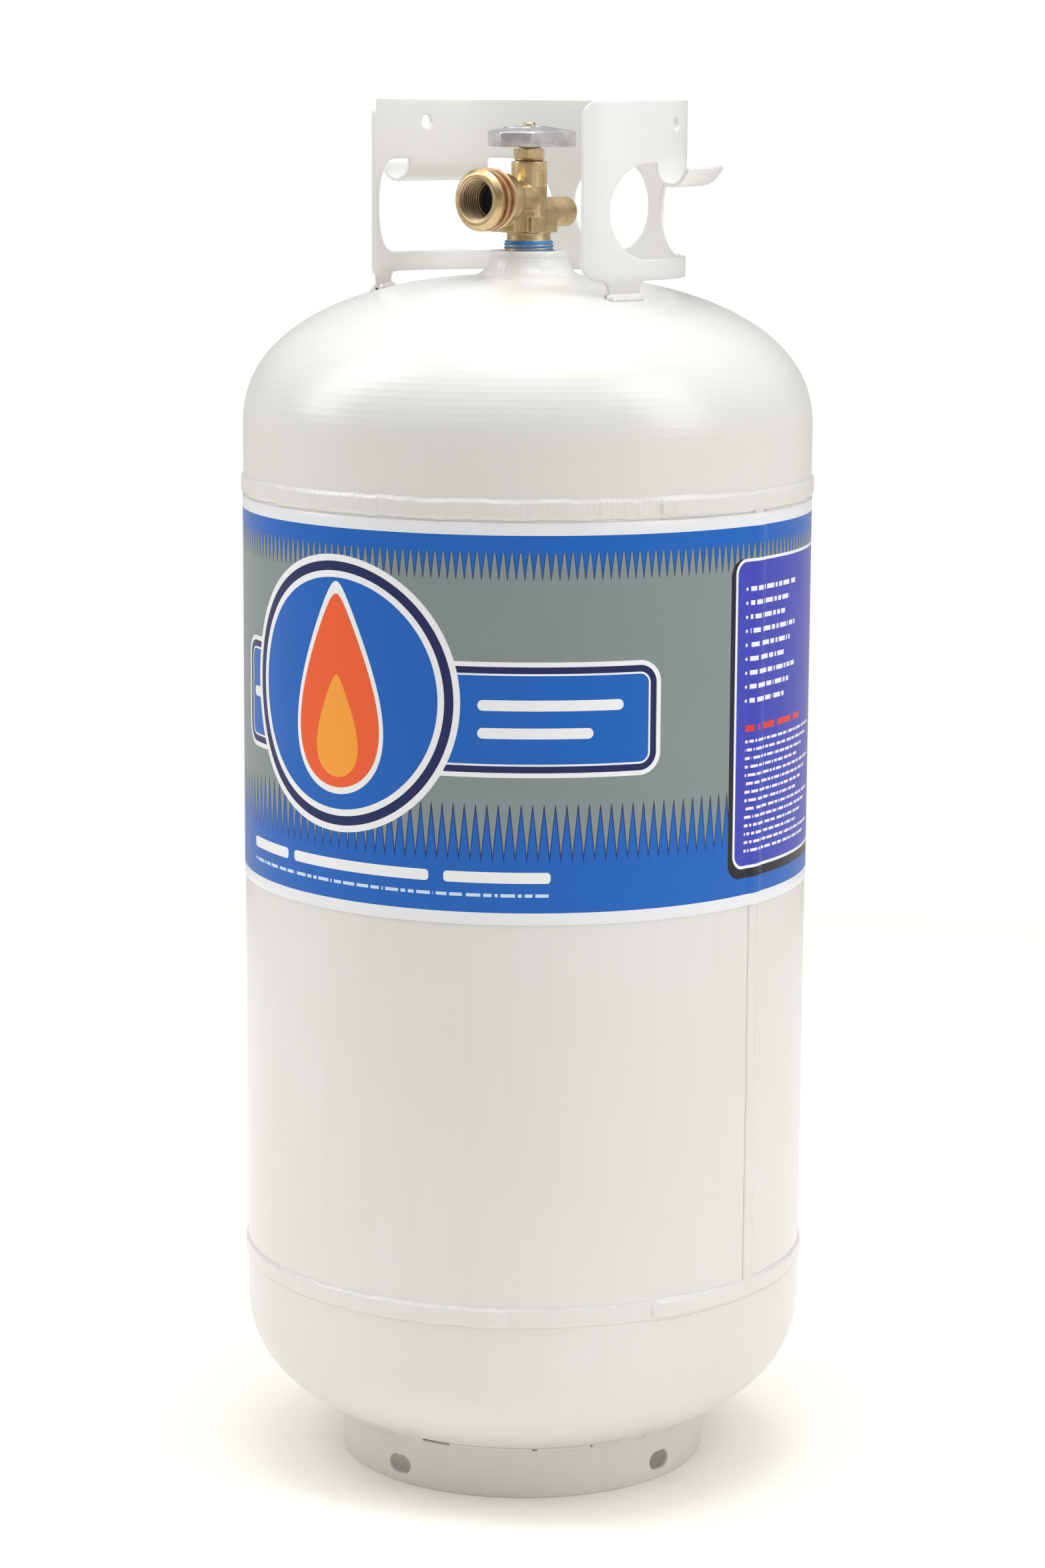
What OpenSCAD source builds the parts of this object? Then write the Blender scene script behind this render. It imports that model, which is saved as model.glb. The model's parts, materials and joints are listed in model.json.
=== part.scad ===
// Vertical steel propane cylinder of the 40 lb size, with guard collar, foot ring, label sleeve
// and a brass cylinder valve that carries a relief valve, a bleeder and an overfill float.
// Millimetres. Z is up, the origin is the centre of the foot ring's bottom face, and the
// valve's outlet points along -Y. Azimuths are measured from -Y towards +X.

/* [Shell] */
// Outside diameter of the pressure vessel
shell_d = 310; // [306:0.5:314]
// Sheet thickness of the course and both heads
wall = 2.2; // [2:0.1:2.8]
// Height of the top head's tangent line
top_tangent_z = 576.9; // [572:0.1:580]
// Rise of the top head over its tangent line
top_rise = 81.4; // [80.6:0.1:81.6]
// Roundness of the top head, where 2 is an ellipse
top_power = 2.27; // [2.2:0.01:2.35]
// Height of the bottom head's tangent line
bottom_tangent_z = 94; // [93.5:0.1:94.5]
// Depth of the bottom head under its tangent line
bottom_drop = 79.8; // [79.4:0.1:80]
// Roundness of the bottom head, where 2 is an ellipse
bottom_power = 2.36; // [2.3:0.01:2.4]
// Height of the girth weld at the top head
upper_weld_z = 546; // [544:0.5:550]
// Height of the girth weld at the bottom head
lower_weld_z = 119; // [116:0.5:122]
// Width of the girth weld beads
girth_bead_w = 11; // [9:0.5:12]
// Height of the girth weld beads over the sheet
girth_bead_h = 1.5; // [1.2:0.1:1.6]
// Azimuth of the longitudinal seam
seam_az = 90.5; // [88:0.5:93]
// Width of the longitudinal seam's bead
seam_bead_w = 9.5; // [8:0.5:10]

/* [Foot ring] */
// Outside diameter of the foot ring
foot_d = 203.2; // [202:0.1:204]
// Sheet thickness of the foot ring
foot_sheet = 3; // [2.5:0.1:3.2]
// Height of the foot ring
foot_h = 27.2; // [26:0.1:27.2]
// Length of each drain slot
slot_l = 15.4; // [12:0.1:18]
// Height of each drain slot
slot_h = 10.2; // [8:0.1:12]
// Height of the slots' centre
slot_z = 10.2; // [9:0.1:12]

/* [Collar] */
// Outside diameter of the guard collar
collar_d = 170; // [168:0.5:172]
// Sheet thickness of the collar
collar_sheet = 2.5; // [2.3:0.1:2.7]
// Height of the collar's top edge
collar_top_z = 751.5; // [748:0.5:754]
// Height of the collar band's lower edge
collar_bottom_z = 657.5; // [656:0.5:659]
// Azimuth of the middle of the collar's opening
collar_turn = 4; // [0:1:8]
// Half of the angle of the collar's opening
collar_open_half = 54; // [50:1:58]
// Diameter of the two small tag holes
tag_hole_d = 7.4; // [6:0.1:8]
// Diameter of the round hole behind the relief valve
vent_hole_d = 50.6; // [46:0.2:52]

/* [Label sleeve] */
// Height of the sleeve's lower edge
sleeve_bottom_z = 330.5; // [300:0.5:340]
// Height of the sleeve's upper edge
sleeve_top_z = 539.5; // [530:0.5:539.5]
// Thickness of the printed plastic film
sleeve_film = 0.3; // [0.25:0.05:0.35]

/* [Valve] */
// Height of the outlet's axis
outlet_z = 698.6; // [698.2:0.1:699]
// Distance from the cylinder's axis to the outlet's face
outlet_reach = 45; // [44.5:0.1:46]
// Outside diameter of the coarse external outlet thread
acme_d = 33.3; // [33:0.1:33.6]
// Bore of the fine left-hand thread inside the outlet
pol_bore_d = 20.52; // [20.4:0.02:20.6]
// Height of the relief valve's axis
relief_z = 691.2; // [691:0.1:691.4]
// Distance from the cylinder's axis to the relief boss's end
relief_reach = 32; // [32:0.1:33]
// Width across the handwheel's corners
wheel_d = 52; // [48:0.2:52]
// Lift of the seat plug over the handwheel's full turn
seat_lift = 3; // [1:0.1:3]

/* [Overfill device] */
// Height of the float arm's pivot
pivot_z = 553; // [551:0.5:555]
// Diameter of the float
float_d = 20; // [16:0.5:21]
// Length of the float
float_l = 70; // [50:1:72]
// Angle that the float arm swings through
float_swing = 55; // [45:1:55]
// Lift of the shut-off piston over that angle
piston_lift = 2; // [1.8:0.1:2]

/* [Hidden] */
$fn = 96;

// Gap left between fixed pieces that touch
gap = 0.05;
// Gap left between pieces that move past each other without guiding
free_gap = 0.3;
// Overshoot of a cutter past the face it opens
over = 1;
// Growth of an arc, so that it crosses the edge it runs into and doesn't just graze it
graze = 0.1;

// Vessel
shell_r = shell_d / 2;
head_steps = 36;
lap_l = 12;
root_half = 0.7;
seam_bead_h = 0.9;
weld_start_az = 64;
weld_overlap_angle = 16;

// Valve boss on the top head
spud_r = 21.5;
spud_pilot_r = 17.4;
spud_top_z = 671;
spud_bottom_z = 653;
spud_fillet_top_z = 666;
spud_fillet_reach = 9.5;
spud_recess_r = 14.6;

// Foot ring
foot_r = foot_d / 2;
slot_turn = -2.5;
foot_weld_az = [-26, 100.5, 227];
foot_weld_angle = 41;

// Collar, with angles measured from the middle of its opening
collar_r = collar_d / 2;
collar_in_r = collar_r - collar_sheet;
corner_r = 10;
hole_bottom_z = 668.5;
hole_top_z = 719;
hole_from = 65;
hole_to = 153.7;
lip_from = [92.5, 88];
lip_to = 129;
lip_bend_r = 8;
lip_end_angle = 35;
lip_tail = 6;
lip_bottom_z = 706.4;
tag_hole_az = 101.5;
tag_hole_z = 739.1;
vent_hole_z = 694;
leg_az = [-71.75, 71.75, 180];
leg_w = 21.5;
leg_fillet = 4.2;
leg_bottom_z = 649.3;

// Valve body
neck_r = 11.8;
shank_bottom_z = 640;
shank_r = 11.7;
thread_bottom_z = 652;
thread_bottom_r = 12.35;
thread_top_z = 671;
thread_top_r = 13.1;
thread_end_z = 675;
block_bottom_z = 680.5;
block_top_z = 689;
block_w = 22;
core_r = 9.7;
core_top_z = 718.9;
inlet_r = 6.5;
inlet_top_z = 690;
orifice_r = 3.2;
land_z = 695.6;
land_h = 1;
stem_bore_r = 7.2;
passage_r = 4.2;
cavity_r = 9;
cavity_reach = 16.5;
thread_reach = 31;
arm_r = 13.8;
arm_start = 4;
arm_full = 20;
acme_r = acme_d / 2;
acme_pitch = 5.08;
acme_root_r = acme_r - 2.79;
pol_r = pol_bore_d / 2;
mouth_r = 11.4;
web_w = 12;
web_reach = 21;
vent_bore_r = 0.6;

// Relief valve, measured along +Y
relief_boss_r = 8.15;
relief_bore_r = 5.6;
relief_floor = 12;
relief_lip_h = 0.6;
relief_port_r = 2.4;

// Bleeder, measured along -X
bleed_z = 685;
bleed_boss_r = 5.2;
bleed_boss_reach = 15;
bleed_bore_r = 2.5;
bleed_port_r = 1.1;
dip_x = 9.8;
dip_tube_r = 1.6;
dip_bottom_z = 518;

// Gland, spindle and handwheel
gland_bottom_z = 711.3;
nut_bottom_z = 720.2;
nut_top_z = 725.2;
nut_flats = 15.9;
nut_turn = 3;
journal_r = 3.97;
gland_bore_r = 4;
flange_top_z = 710.5;
flange_bottom_z = 708.5;
flange_r = 5.6;
tang_bottom_z = 702.5;
tang_w = 4.2;
seal_z = [714.5, 718.5];
seal_section_r = 0.5;
seal_groove_r = 2.9;
spindle_top_z = 735;
square_w = 5.6;
wheel_bottom_z = 726.3;
wheel_rim_z = 734;
wheel_top_z = 737.6;
wheel_turn = 20.3;
wheel_short_half = 20.5;
wheel_corner_r = 2.2;
wheel_skirt = 2.6;
wheel_roof_z = 731;
wheel_hub_r = 6.8;
screw_r = 1.55;
screw_head_r = 3.5;

// Seat plug
plug_r = 7.15;
plug_bottom_z = land_z + 1.3;
plug_top_z = 705.2;
plug_socket_z = 699.2;
disc_r = 5.25;
disc_l = 1.95;

// Outlet check, measured from the cylinder's axis along the outlet
check_floor = 18.6;
seal_back = 27.55;
seal_front = 30.6;
plunger_flange = 25.2;
check_coil_r = 4.4;
check_wire_r = 0.3;
check_turns = 4.5;
relief_coil_r = 3.9;
relief_wire_r = 0.45;
relief_turns = 4.5;

// Overfill device
opd_r = 7.8;
opd_bore_r = 5.2;
opd_top_z = 648;
opd_seat_z = 628;
opd_web_z = [564, 570];
opd_bottom_z = pivot_z - 5.5;
fork_gap = 5;
cam_w = 4.2;
cam_base_r = 5;
cam_from = -6;
cam_to = 76;
cam_hub_r = 3.4;
pin_r = 1;
piston_rod_r = 1.6;
piston_foot_r = 2.2;
arm_rod_r = 1.6;
float_gap = 38;

// Height of a head's surface from its tangent line at radius r
function head_height(r, radius, rise, power) = rise * pow(1 - pow(r / radius, power), 1 / power);
function top_z(r) = top_tangent_z + head_height(r, shell_r, top_rise, top_power);
function bottom_z(r) = bottom_tangent_z - head_height(r, shell_r, bottom_drop, bottom_power);

// Points of a head's curve from its rim to its middle
function head_curve(radius, rise, power) = [
    for (i = [0:head_steps])
        let (t = 90 * i / head_steps)
        [radius * pow(max(cos(t), 0), 2 / power), rise * pow(max(sin(t), 0), 2 / power)]
];

function reversed(list) = [for (i = [len(list) - 1:-1:0]) list[i]];

// Corner of a polygon replaced by an arc of radius r, between its neighbours before and after
function rounded_corner(before, corner, after, r, steps) =
    let (
        a = (before - corner) / norm(before - corner),
        b = (after - corner) / norm(after - corner),
        half = acos(a * b) / 2,
        bisector = (a + b) / norm(a + b),
        centre = corner + bisector * r / sin(half),
        start = atan2((corner - centre).y, (corner - centre).x)
    )
    [
        for (i = [0:steps])
            let (t = start + (90 - half) * (2 * i / steps - 1))
            centre + r * [cos(t), sin(t)]
    ];

function rounded_polygon(points, r, steps) =
    let (n = len(points))
    [
        for (i = [0:n - 1])
            each rounded_corner(points[(i + n - 1) % n], points[i], points[(i + 1) % n], r, steps)
    ];

// Corners of the handwheel's outline: three long sides and three short ones
function wheel_corners(r) = [
    for (k = [0:2], side = [-1, 1])
        let (az = wheel_turn + 120 * k + side * wheel_short_half)
        r * [sin(az), -cos(az)]
];

// Turns a 2D profile (radius, height) through a span of azimuth
module sector(from, to)
    rotate([0, 0, from - 90])
        rotate_extrude(angle = to - from)
            children();

// Pushes a 2D outline (along azimuth, height) outwards between two radii
module radial(az, z, from, to)
    rotate([0, 0, az])
        translate([0, 0, z])
            rotate([90, 0, 0])
                translate([0, 0, from])
                    linear_extrude(to - from)
                        children();

module along_outlet(from)
    translate([0, -from, outlet_z])
        rotate([90, 0, 0])
            children();

module along_relief(from)
    translate([0, from, relief_z])
        rotate([-90, 0, 0])
            children();

module along_bleed(from)
    translate([-from, 0, bleed_z])
        rotate([0, -90, 0])
            children();

module rod(z, top, r)
    translate([0, 0, z])
        cylinder(r = r, h = top - z);

module tube(z, top, r, hole_r)
    difference() {
        rod(z, top, r);
        rod(z - over, top + over, hole_r);
    }

module square_bar(z, top, w)
    translate([-w / 2, -w / 2, z])
        cube([w, w, top - z]);

// Cap of a weld bead's section, standing on a wall of radius r
module bead_cap(r, width, height, clearance) {
    bead_r = (width * width / 4 + height * height) / (2 * height);
    intersection() {
        translate([r + height - bead_r, 0])
            circle(r = bead_r);
        translate([r + clearance, -width])
            square([width, 2 * width]);
    }
}

// Round wire wound into a helical spring along +Z
module coil_spring(coil_r, wire_r, length, turns) {
    sides = 8;
    per_turn = 20;
    rings = turns * per_turn;
    rise = length - 2 * wire_r;
    points = [
        for (i = [0:rings], j = [0:sides - 1])
            let (a = 360 * i / per_turn, b = 360 * j / sides, r = coil_r + wire_r * cos(b))
            [r * cos(a), r * sin(a), wire_r + rise * i / rings + wire_r * sin(b)]
    ];
    skin = [
        for (i = [0:rings - 1], j = [0:sides - 1])
            let (k = (j + 1) % sides)
            [i * sides + j, i * sides + k, (i + 1) * sides + k, (i + 1) * sides + j]
    ];
    first_end = [for (j = [sides - 1:-1:0]) j];
    last_end = [for (j = [0:sides - 1]) rings * sides + j];
    polyhedron(points = points, faces = concat(skin, [first_end], [last_end]));
}

// Pressed head with a straight skirt and a joggled lap that slides into the course
module head(rise, power, skirt) {
    step_r = shell_r - wall - gap;
    profile = concat(
        head_curve(shell_r, rise, power),
        reversed(head_curve(shell_r - wall, rise - wall, power)),
        [
            [shell_r - wall, wall - skirt],
            [step_r - wall, -skirt],
            [step_r - wall, -skirt - lap_l],
            [step_r, -skirt - lap_l],
            [step_r, -skirt],
            [shell_r, -skirt]
        ]
    );
    rotate_extrude()
        polygon(profile);
}

module top_head()
    color("white")
        difference() {
            translate([0, 0, top_tangent_z])
                head(top_rise, top_power, top_tangent_z - upper_weld_z - root_half);
            rod(top_tangent_z, collar_top_z, spud_pilot_r + gap);
        }

module bottom_head()
    color("white")
        translate([0, 0, bottom_tangent_z])
            mirror([0, 0, 1])
                head(bottom_drop, bottom_power, lower_weld_z - root_half - bottom_tangent_z);

module body_shell()
    color("white")
        tube(lower_weld_z + root_half, upper_weld_z - root_half, shell_r, shell_r - wall);

// Bead all round the vessel, with its root and the thicker stretch where its ends overlap
module girth_weld(z) {
    translate([0, 0, z]) {
        rotate_extrude() {
            bead_cap(shell_r, girth_bead_w, girth_bead_h, gap);
            translate([shell_r - wall, gap - root_half])
                square([wall + 4 * gap, 2 * (root_half - gap)]);
        }
        sector(weld_start_az, weld_start_az + weld_overlap_angle)
            bead_cap(shell_r, girth_bead_w + 1.6, girth_bead_h + 0.5, 5 * gap);
    }
}

module upper_girth_weld()
    color("white")
        girth_weld(upper_weld_z);

module lower_girth_weld()
    color("white")
        girth_weld(lower_weld_z);

// Outline of the seam's bead seen from above, grown by extra
module seam_outline(extra) {
    bead_r = (seam_bead_w * seam_bead_w / 4 + seam_bead_h * seam_bead_h) / (2 * seam_bead_h);
    rotate(seam_az - 90)
        translate([shell_r + seam_bead_h - bead_r, 0])
            circle(r = bead_r + extra);
}

module long_seam_weld()
    color("white")
        translate([0, 0, lower_weld_z + girth_bead_w / 2])
            linear_extrude(upper_weld_z - lower_weld_z - girth_bead_w)
                difference() {
                    seam_outline(0);
                    circle(r = shell_r + gap, $fn = 720);
                }

// Threaded boss that the valve screws into
module valve_spud()
    color("white")
        difference() {
            rotate_extrude()
                polygon([
                    [0, spud_bottom_z],
                    [spud_pilot_r, spud_bottom_z],
                    [spud_pilot_r, top_z(spud_pilot_r) + gap],
                    [spud_r, top_z(spud_pilot_r) + gap],
                    [spud_r, spud_top_z - 1],
                    [spud_r - 1, spud_top_z],
                    [0, spud_top_z]
                ]);
            translate([0, 0, spud_bottom_z - over])
                cylinder(r1 = thread_bottom_r + gap, r2 = thread_top_r + gap, h = spud_top_z - spud_bottom_z + 2 * over);
            rod(spud_top_z - 0.9, spud_top_z + over, spud_recess_r);
        }

// Fillet weld that runs from the boss out onto the head
module spud_weld() {
    steps = 8;
    foot = spud_r + spud_fillet_reach;
    low = top_z(foot) + gap;
    curve = [
        for (i = [0:steps])
            let (t = 90 * i / steps)
            [
                foot - (spud_fillet_reach - gap) * sin(t),
                spud_fillet_top_z - (spud_fillet_top_z - low) * cos(t)
            ]
    ];
    base = [
        for (i = [0:steps])
            let (r = spud_r + gap + (spud_fillet_reach - gap) * i / steps)
            [r, top_z(r) + gap / 2]
    ];
    color("white")
        rotate_extrude()
            polygon(concat(base, curve));
}

// What rounds off one free corner of the collar
module corner_cut(side, z, up) {
    inset = asin(corner_r / collar_r);
    az = collar_turn + side * (collar_open_half + inset);
    radial(az, z - up * corner_r, collar_in_r - 4 * over, collar_r + 4 * over)
        difference() {
            translate([side > 0 ? -2 * corner_r : 0, up > 0 ? 0 : -2 * corner_r])
                square(2 * corner_r);
            circle(r = corner_r + graze);
        }
}

// Long opening for a hand, with round ends
module hand_hole(side) {
    end_r = (hole_top_z - hole_bottom_z) / 2;
    end_angle = asin(end_r / collar_r);
    near = collar_turn + side * (hole_from + end_angle);
    far = collar_turn + side * (hole_to - end_angle);
    sector(min(near, far), max(near, far))
        translate([collar_in_r - 5 * over, hole_bottom_z])
            square([collar_sheet + 10 * over, 2 * end_r]);
    for (az = [near, far])
        radial(az, (hole_top_z + hole_bottom_z) / 2, collar_in_r - 12 * over, collar_r + 5 * over)
            circle(r = end_r - graze);
}

// Section of the rolled grip along a hand hole's upper edge: sheet, bend and straight tail
module lip_profile() {
    steps = 14;
    inner = lip_bend_r + gap;
    outer = lip_bend_r + collar_sheet - gap;
    centre = [collar_r + lip_bend_r, lip_bottom_z + outer];
    tail = lip_tail * [sin(lip_end_angle), cos(lip_end_angle)];
    angles = [for (i = [0:steps]) 180 + (180 - lip_end_angle) * i / steps];
    inside = [for (t = angles) centre + inner * [cos(t), sin(t)]];
    outside = [for (t = angles) centre + outer * [cos(t), sin(t)]];
    top = hole_top_z + over;
    polygon(concat(
        [[collar_r - gap, top]],
        inside,
        [inside[steps] + tail, outside[steps] + tail],
        reversed(outside),
        [[collar_in_r + gap, top]]
    ));
}

// Leg that carries the collar on the head, with hollow corners under the band
module collar_leg(az) {
    half = leg_w / 2;
    span = half + leg_fillet;
    height = collar_bottom_z + over - leg_bottom_z;
    intersection() {
        tube(leg_bottom_z, collar_bottom_z + over, collar_r - gap, collar_in_r + gap);
        radial(collar_turn + az, leg_bottom_z, collar_in_r - 5 * over, collar_r + 5 * over)
            difference() {
                translate([-span, 0])
                    square([2 * span, height]);
                for (side = [-1, 1]) {
                    translate([side * span, height - over - leg_fillet])
                        circle(r = leg_fillet + graze);
                    translate([side > 0 ? half : -half - 2 * leg_fillet, -over])
                        square([2 * leg_fillet, height - leg_fillet]);
                }
            }
    }
}

module collar()
    color("white") {
        difference() {
            sector(collar_turn + collar_open_half, collar_turn + 360 - collar_open_half)
                translate([collar_in_r, collar_bottom_z])
                    square([collar_sheet, collar_top_z - collar_bottom_z]);
            for (side = [-1, 1]) {
                hand_hole(side);
                corner_cut(side, collar_top_z, 1);
                corner_cut(side, collar_bottom_z, -1);
                radial(collar_turn + side * tag_hole_az, tag_hole_z, collar_in_r - over, collar_r + over)
                    circle(r = tag_hole_d / 2);
            }
            radial(collar_turn + 180, vent_hole_z, collar_in_r - 8 * over, collar_r + over)
                circle(r = vent_hole_d / 2);
        }
        sector(collar_turn - lip_to, collar_turn - lip_from[0])
            lip_profile();
        sector(collar_turn + lip_from[1], collar_turn + lip_to)
            lip_profile();
        for (az = leg_az)
            collar_leg(az);
    }

// Fillets outside and inside each collar leg
module collar_welds() {
    half_angle = asin(leg_w / 2 / collar_r) + 1;
    leg = 3.4;
    color("white")
        for (az = leg_az)
            sector(collar_turn + az - half_angle, collar_turn + az + half_angle) {
                polygon([
                    [collar_r + gap, top_z(collar_r) + gap],
                    [collar_r + leg, top_z(collar_r + leg) + gap],
                    [collar_r + leg / 2, top_z(collar_r) + leg / 2],
                    [collar_r + gap, top_z(collar_r) + leg]
                ]);
                polygon([
                    [collar_in_r - gap, top_z(collar_in_r) + gap],
                    [collar_in_r - gap, top_z(collar_in_r) + leg],
                    [collar_in_r - leg / 2, top_z(collar_in_r) + leg / 2],
                    [collar_in_r - leg, top_z(collar_in_r - leg) + gap]
                ]);
            }
}

module slot_outline() {
    straight = slot_l - slot_h;
    square([straight, slot_h], center = true);
    for (side = [-1, 1])
        translate([side * straight / 2, 0])
            circle(r = slot_h / 2);
}

module foot_ring()
    color("white")
        difference() {
            tube(0, foot_h, foot_r, foot_r - foot_sheet);
            for (k = [0:3])
                radial(slot_turn + 90 * k, slot_z, foot_r - foot_sheet - 2 * over, foot_r + over)
                    slot_outline();
        }

// Three stitches of weld in the corner between the foot ring and the bottom head
module foot_ring_welds() {
    inner = foot_r + gap;
    outer = foot_r + 3.4;
    half = foot_weld_angle / 2;
    color("white")
        for (az = foot_weld_az)
            sector(az - half, az + half)
                polygon([
                    [inner, foot_h - 2.4],
                    [outer - 0.8, foot_h + 0.2],
                    [outer, bottom_z(outer) - 2 * gap],
                    [inner, bottom_z(inner) - 2 * gap]
                ]);
}

// Printed film sleeve, pulled tight over the course and its seam
module label_sleeve() {
    inner_r = shell_r + 2 * gap;
    color("steelblue")
        translate([0, 0, sleeve_bottom_z])
            linear_extrude(sleeve_top_z - sleeve_bottom_z)
                difference() {
                    union() {
                        circle(r = inner_r + sleeve_film);
                        seam_outline(gap + sleeve_film);
                    }
                    circle(r = inner_r);
                    seam_outline(gap);
                }
}

// Section of the outlet from the arm to its face, with the coarse thread cut into it
module outlet_profile() {
    crest = 0.37 * acme_pitch;
    flank = 0.13 * acme_pitch;
    first_crest = outlet_reach - 2.8;
    face_r = mouth_r + 2.5;
    groove = [
        for (k = [0:1])
            let (edge = first_crest - crest - k * acme_pitch)
            each [
                [acme_r, edge],
                [acme_root_r, edge - flank],
                [acme_root_r, edge - flank - crest],
                [acme_r, edge - 2 * flank - crest]
            ]
    ];
    shoulder = first_crest - 2 * acme_pitch - crest;
    polygon(concat(
        [
            [0, arm_start],
            [core_r - 1, arm_start],
            [arm_r, arm_full],
            [arm_r, shoulder - 2.4],
            [acme_r - 0.6, shoulder],
            [acme_r, shoulder + 0.6]
        ],
        reversed(groove),
        [
            [acme_r, first_crest],
            [face_r, outlet_reach],
            [0, outlet_reach]
        ]
    ));
}

module valve_outside() {
    rod(shank_bottom_z, thread_bottom_z, shank_r);
    translate([0, 0, thread_bottom_z])
        cylinder(r1 = thread_bottom_r, r2 = thread_top_r, h = thread_top_z - thread_bottom_z);
    rod(thread_top_z, thread_end_z, thread_top_r);
    rod(thread_end_z, block_bottom_z, neck_r);
    square_bar(block_bottom_z, block_top_z, block_w);
    rod(block_bottom_z, core_top_z, core_r);
    along_outlet(0)
        rotate_extrude()
            outlet_profile();
    translate([-web_w / 2, -web_reach, block_bottom_z + 1])
        cube([web_w, web_reach, outlet_z - block_bottom_z - 1]);
    along_relief(0)
        cylinder(r = relief_boss_r, h = relief_reach);
    along_bleed(0)
        cylinder(r = bleed_boss_r, h = bleed_boss_reach);
}

module valve_body()
    color("goldenrod")
        difference() {
            valve_outside();
            // Way in from the tank, then the orifice under the seat
            rod(shank_bottom_z - over, inlet_top_z, inlet_r);
            rod(inlet_top_z - over, land_z + over, orifice_r);
            // Stem chamber, with a raised land around the orifice
            rod(land_z, core_top_z + over, stem_bore_r);
            tube(land_z - land_h, land_z + over, stem_bore_r, orifice_r + 1.4);
            // Outlet
            along_outlet(stem_bore_r - over)
                cylinder(r = passage_r, h = cavity_reach - stem_bore_r + 2 * over);
            along_outlet(cavity_reach)
                cylinder(r = cavity_r, h = thread_reach - cavity_reach + over);
            along_outlet(thread_reach)
                cylinder(r = pol_r, h = outlet_reach - thread_reach + over);
            along_outlet(outlet_reach - mouth_r + pol_r)
                cylinder(r1 = pol_r, r2 = mouth_r + over, h = mouth_r - pol_r + over);
            // Relief valve
            along_relief(0)
                cylinder(r = relief_port_r, h = relief_floor + over);
            along_relief(relief_floor + relief_lip_h)
                cylinder(r = relief_bore_r, h = relief_reach);
            along_relief(relief_floor)
                difference() {
                    cylinder(r = relief_bore_r, h = 2 * relief_lip_h);
                    translate([0, 0, -over])
                        cylinder(r = relief_port_r + 1, h = 4 * over);
                }
            // Bleeder and its way down to the dip tube
            along_bleed(dip_x + 1.4)
                cylinder(r = bleed_bore_r, h = bleed_boss_reach);
            along_bleed(dip_x)
                cylinder(r = bleed_port_r, h = 2 * over);
            translate([-dip_x, 0, 0]) {
                rod(shank_bottom_z - over, bleed_z, bleed_port_r);
                rod(shank_bottom_z - over, shank_bottom_z + 6, dip_tube_r + gap);
            }
            // Weep hole under the outlet
            translate([-3, over - web_reach, block_bottom_z + 3.4])
                rotate([90, 0, 0])
                    cylinder(r = vent_bore_r, h = 2 * over);
        }

// Dried blue sealant on the threads that stay outside the boss
module thread_sealant() {
    pitch = 1.81;
    skin_r = thread_top_r + gap;
    low = spud_top_z + gap;
    color("dodgerblue")
        rotate_extrude()
            polygon([
                [skin_r, low],
                [skin_r + 0.25, low],
                [skin_r + 0.5, low + pitch / 2],
                [skin_r + 0.2, low + pitch],
                [skin_r + 0.5, low + 1.5 * pitch],
                [skin_r + 0.2, thread_end_z],
                [skin_r, thread_end_z]
            ]);
}

module gland_nut()
    color("gold")
        difference() {
            union() {
                rod(gland_bottom_z, nut_bottom_z, stem_bore_r - gap);
                rod(core_top_z + gap, nut_bottom_z + gap, stem_bore_r + 0.5);
                rotate([0, 0, nut_turn])
                    translate([0, 0, nut_bottom_z])
                        cylinder(r = nut_flats / 2 / cos(30), h = nut_top_z - nut_bottom_z, $fn = 6);
            }
            rod(gland_bottom_z - over, nut_top_z + over, gland_bore_r);
        }

// Spindle that turns without rising: tang, thrust flange, journal and square end
module spindle()
    color("goldenrod")
        difference() {
            union() {
                square_bar(tang_bottom_z, flange_bottom_z + over, tang_w);
                rod(flange_bottom_z, flange_top_z, flange_r);
                rod(flange_bottom_z, nut_top_z, journal_r);
                square_bar(nut_top_z - over, spindle_top_z, square_w);
            }
            for (z = seal_z)
                tube(z - 0.6, z + 0.6, journal_r + over, seal_groove_r);
            rod(wheel_bottom_z, spindle_top_z + over, screw_r + gap);
        }

module stem_seals()
    color("black")
        for (z = seal_z)
            rotate_extrude()
                translate([seal_groove_r + gap + seal_section_r, z])
                    circle(r = seal_section_r);

module thrust_washer()
    color("ivory")
        tube(flange_top_z + gap, gland_bottom_z - gap, stem_bore_r - free_gap, gland_bore_r + free_gap);

module wheel_outline(r)
    polygon(rounded_polygon(wheel_corners(r), wheel_corner_r, 6));

// Cast handwheel with a domed roof, a skirt and a hub
module handwheel() {
    rim_r = wheel_d / 2;
    dome_rise = wheel_top_z - wheel_rim_z;
    dome_r = (rim_r * rim_r + dome_rise * dome_rise) / (2 * dome_rise);
    color("silver")
        difference() {
            union() {
                intersection() {
                    translate([0, 0, wheel_bottom_z])
                        linear_extrude(wheel_top_z - wheel_bottom_z)
                            wheel_outline(rim_r);
                    translate([0, 0, wheel_top_z - dome_r])
                        sphere(r = dome_r);
                }
                rod(nut_top_z + free_gap, wheel_bottom_z + over, journal_r + free_gap);
            }
            difference() {
                translate([0, 0, wheel_bottom_z - over])
                    linear_extrude(wheel_roof_z - wheel_bottom_z + over)
                        wheel_outline(rim_r - wheel_skirt);
                rod(wheel_bottom_z - 2 * over, wheel_top_z, wheel_hub_r);
            }
            square_bar(nut_top_z, spindle_top_z + gap, square_w + 2 * gap);
            rod(nut_top_z, wheel_top_z + over, screw_r + 0.5);
            rod(wheel_top_z - 0.7, wheel_top_z + over, screw_head_r + free_gap);
        }
}

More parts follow.
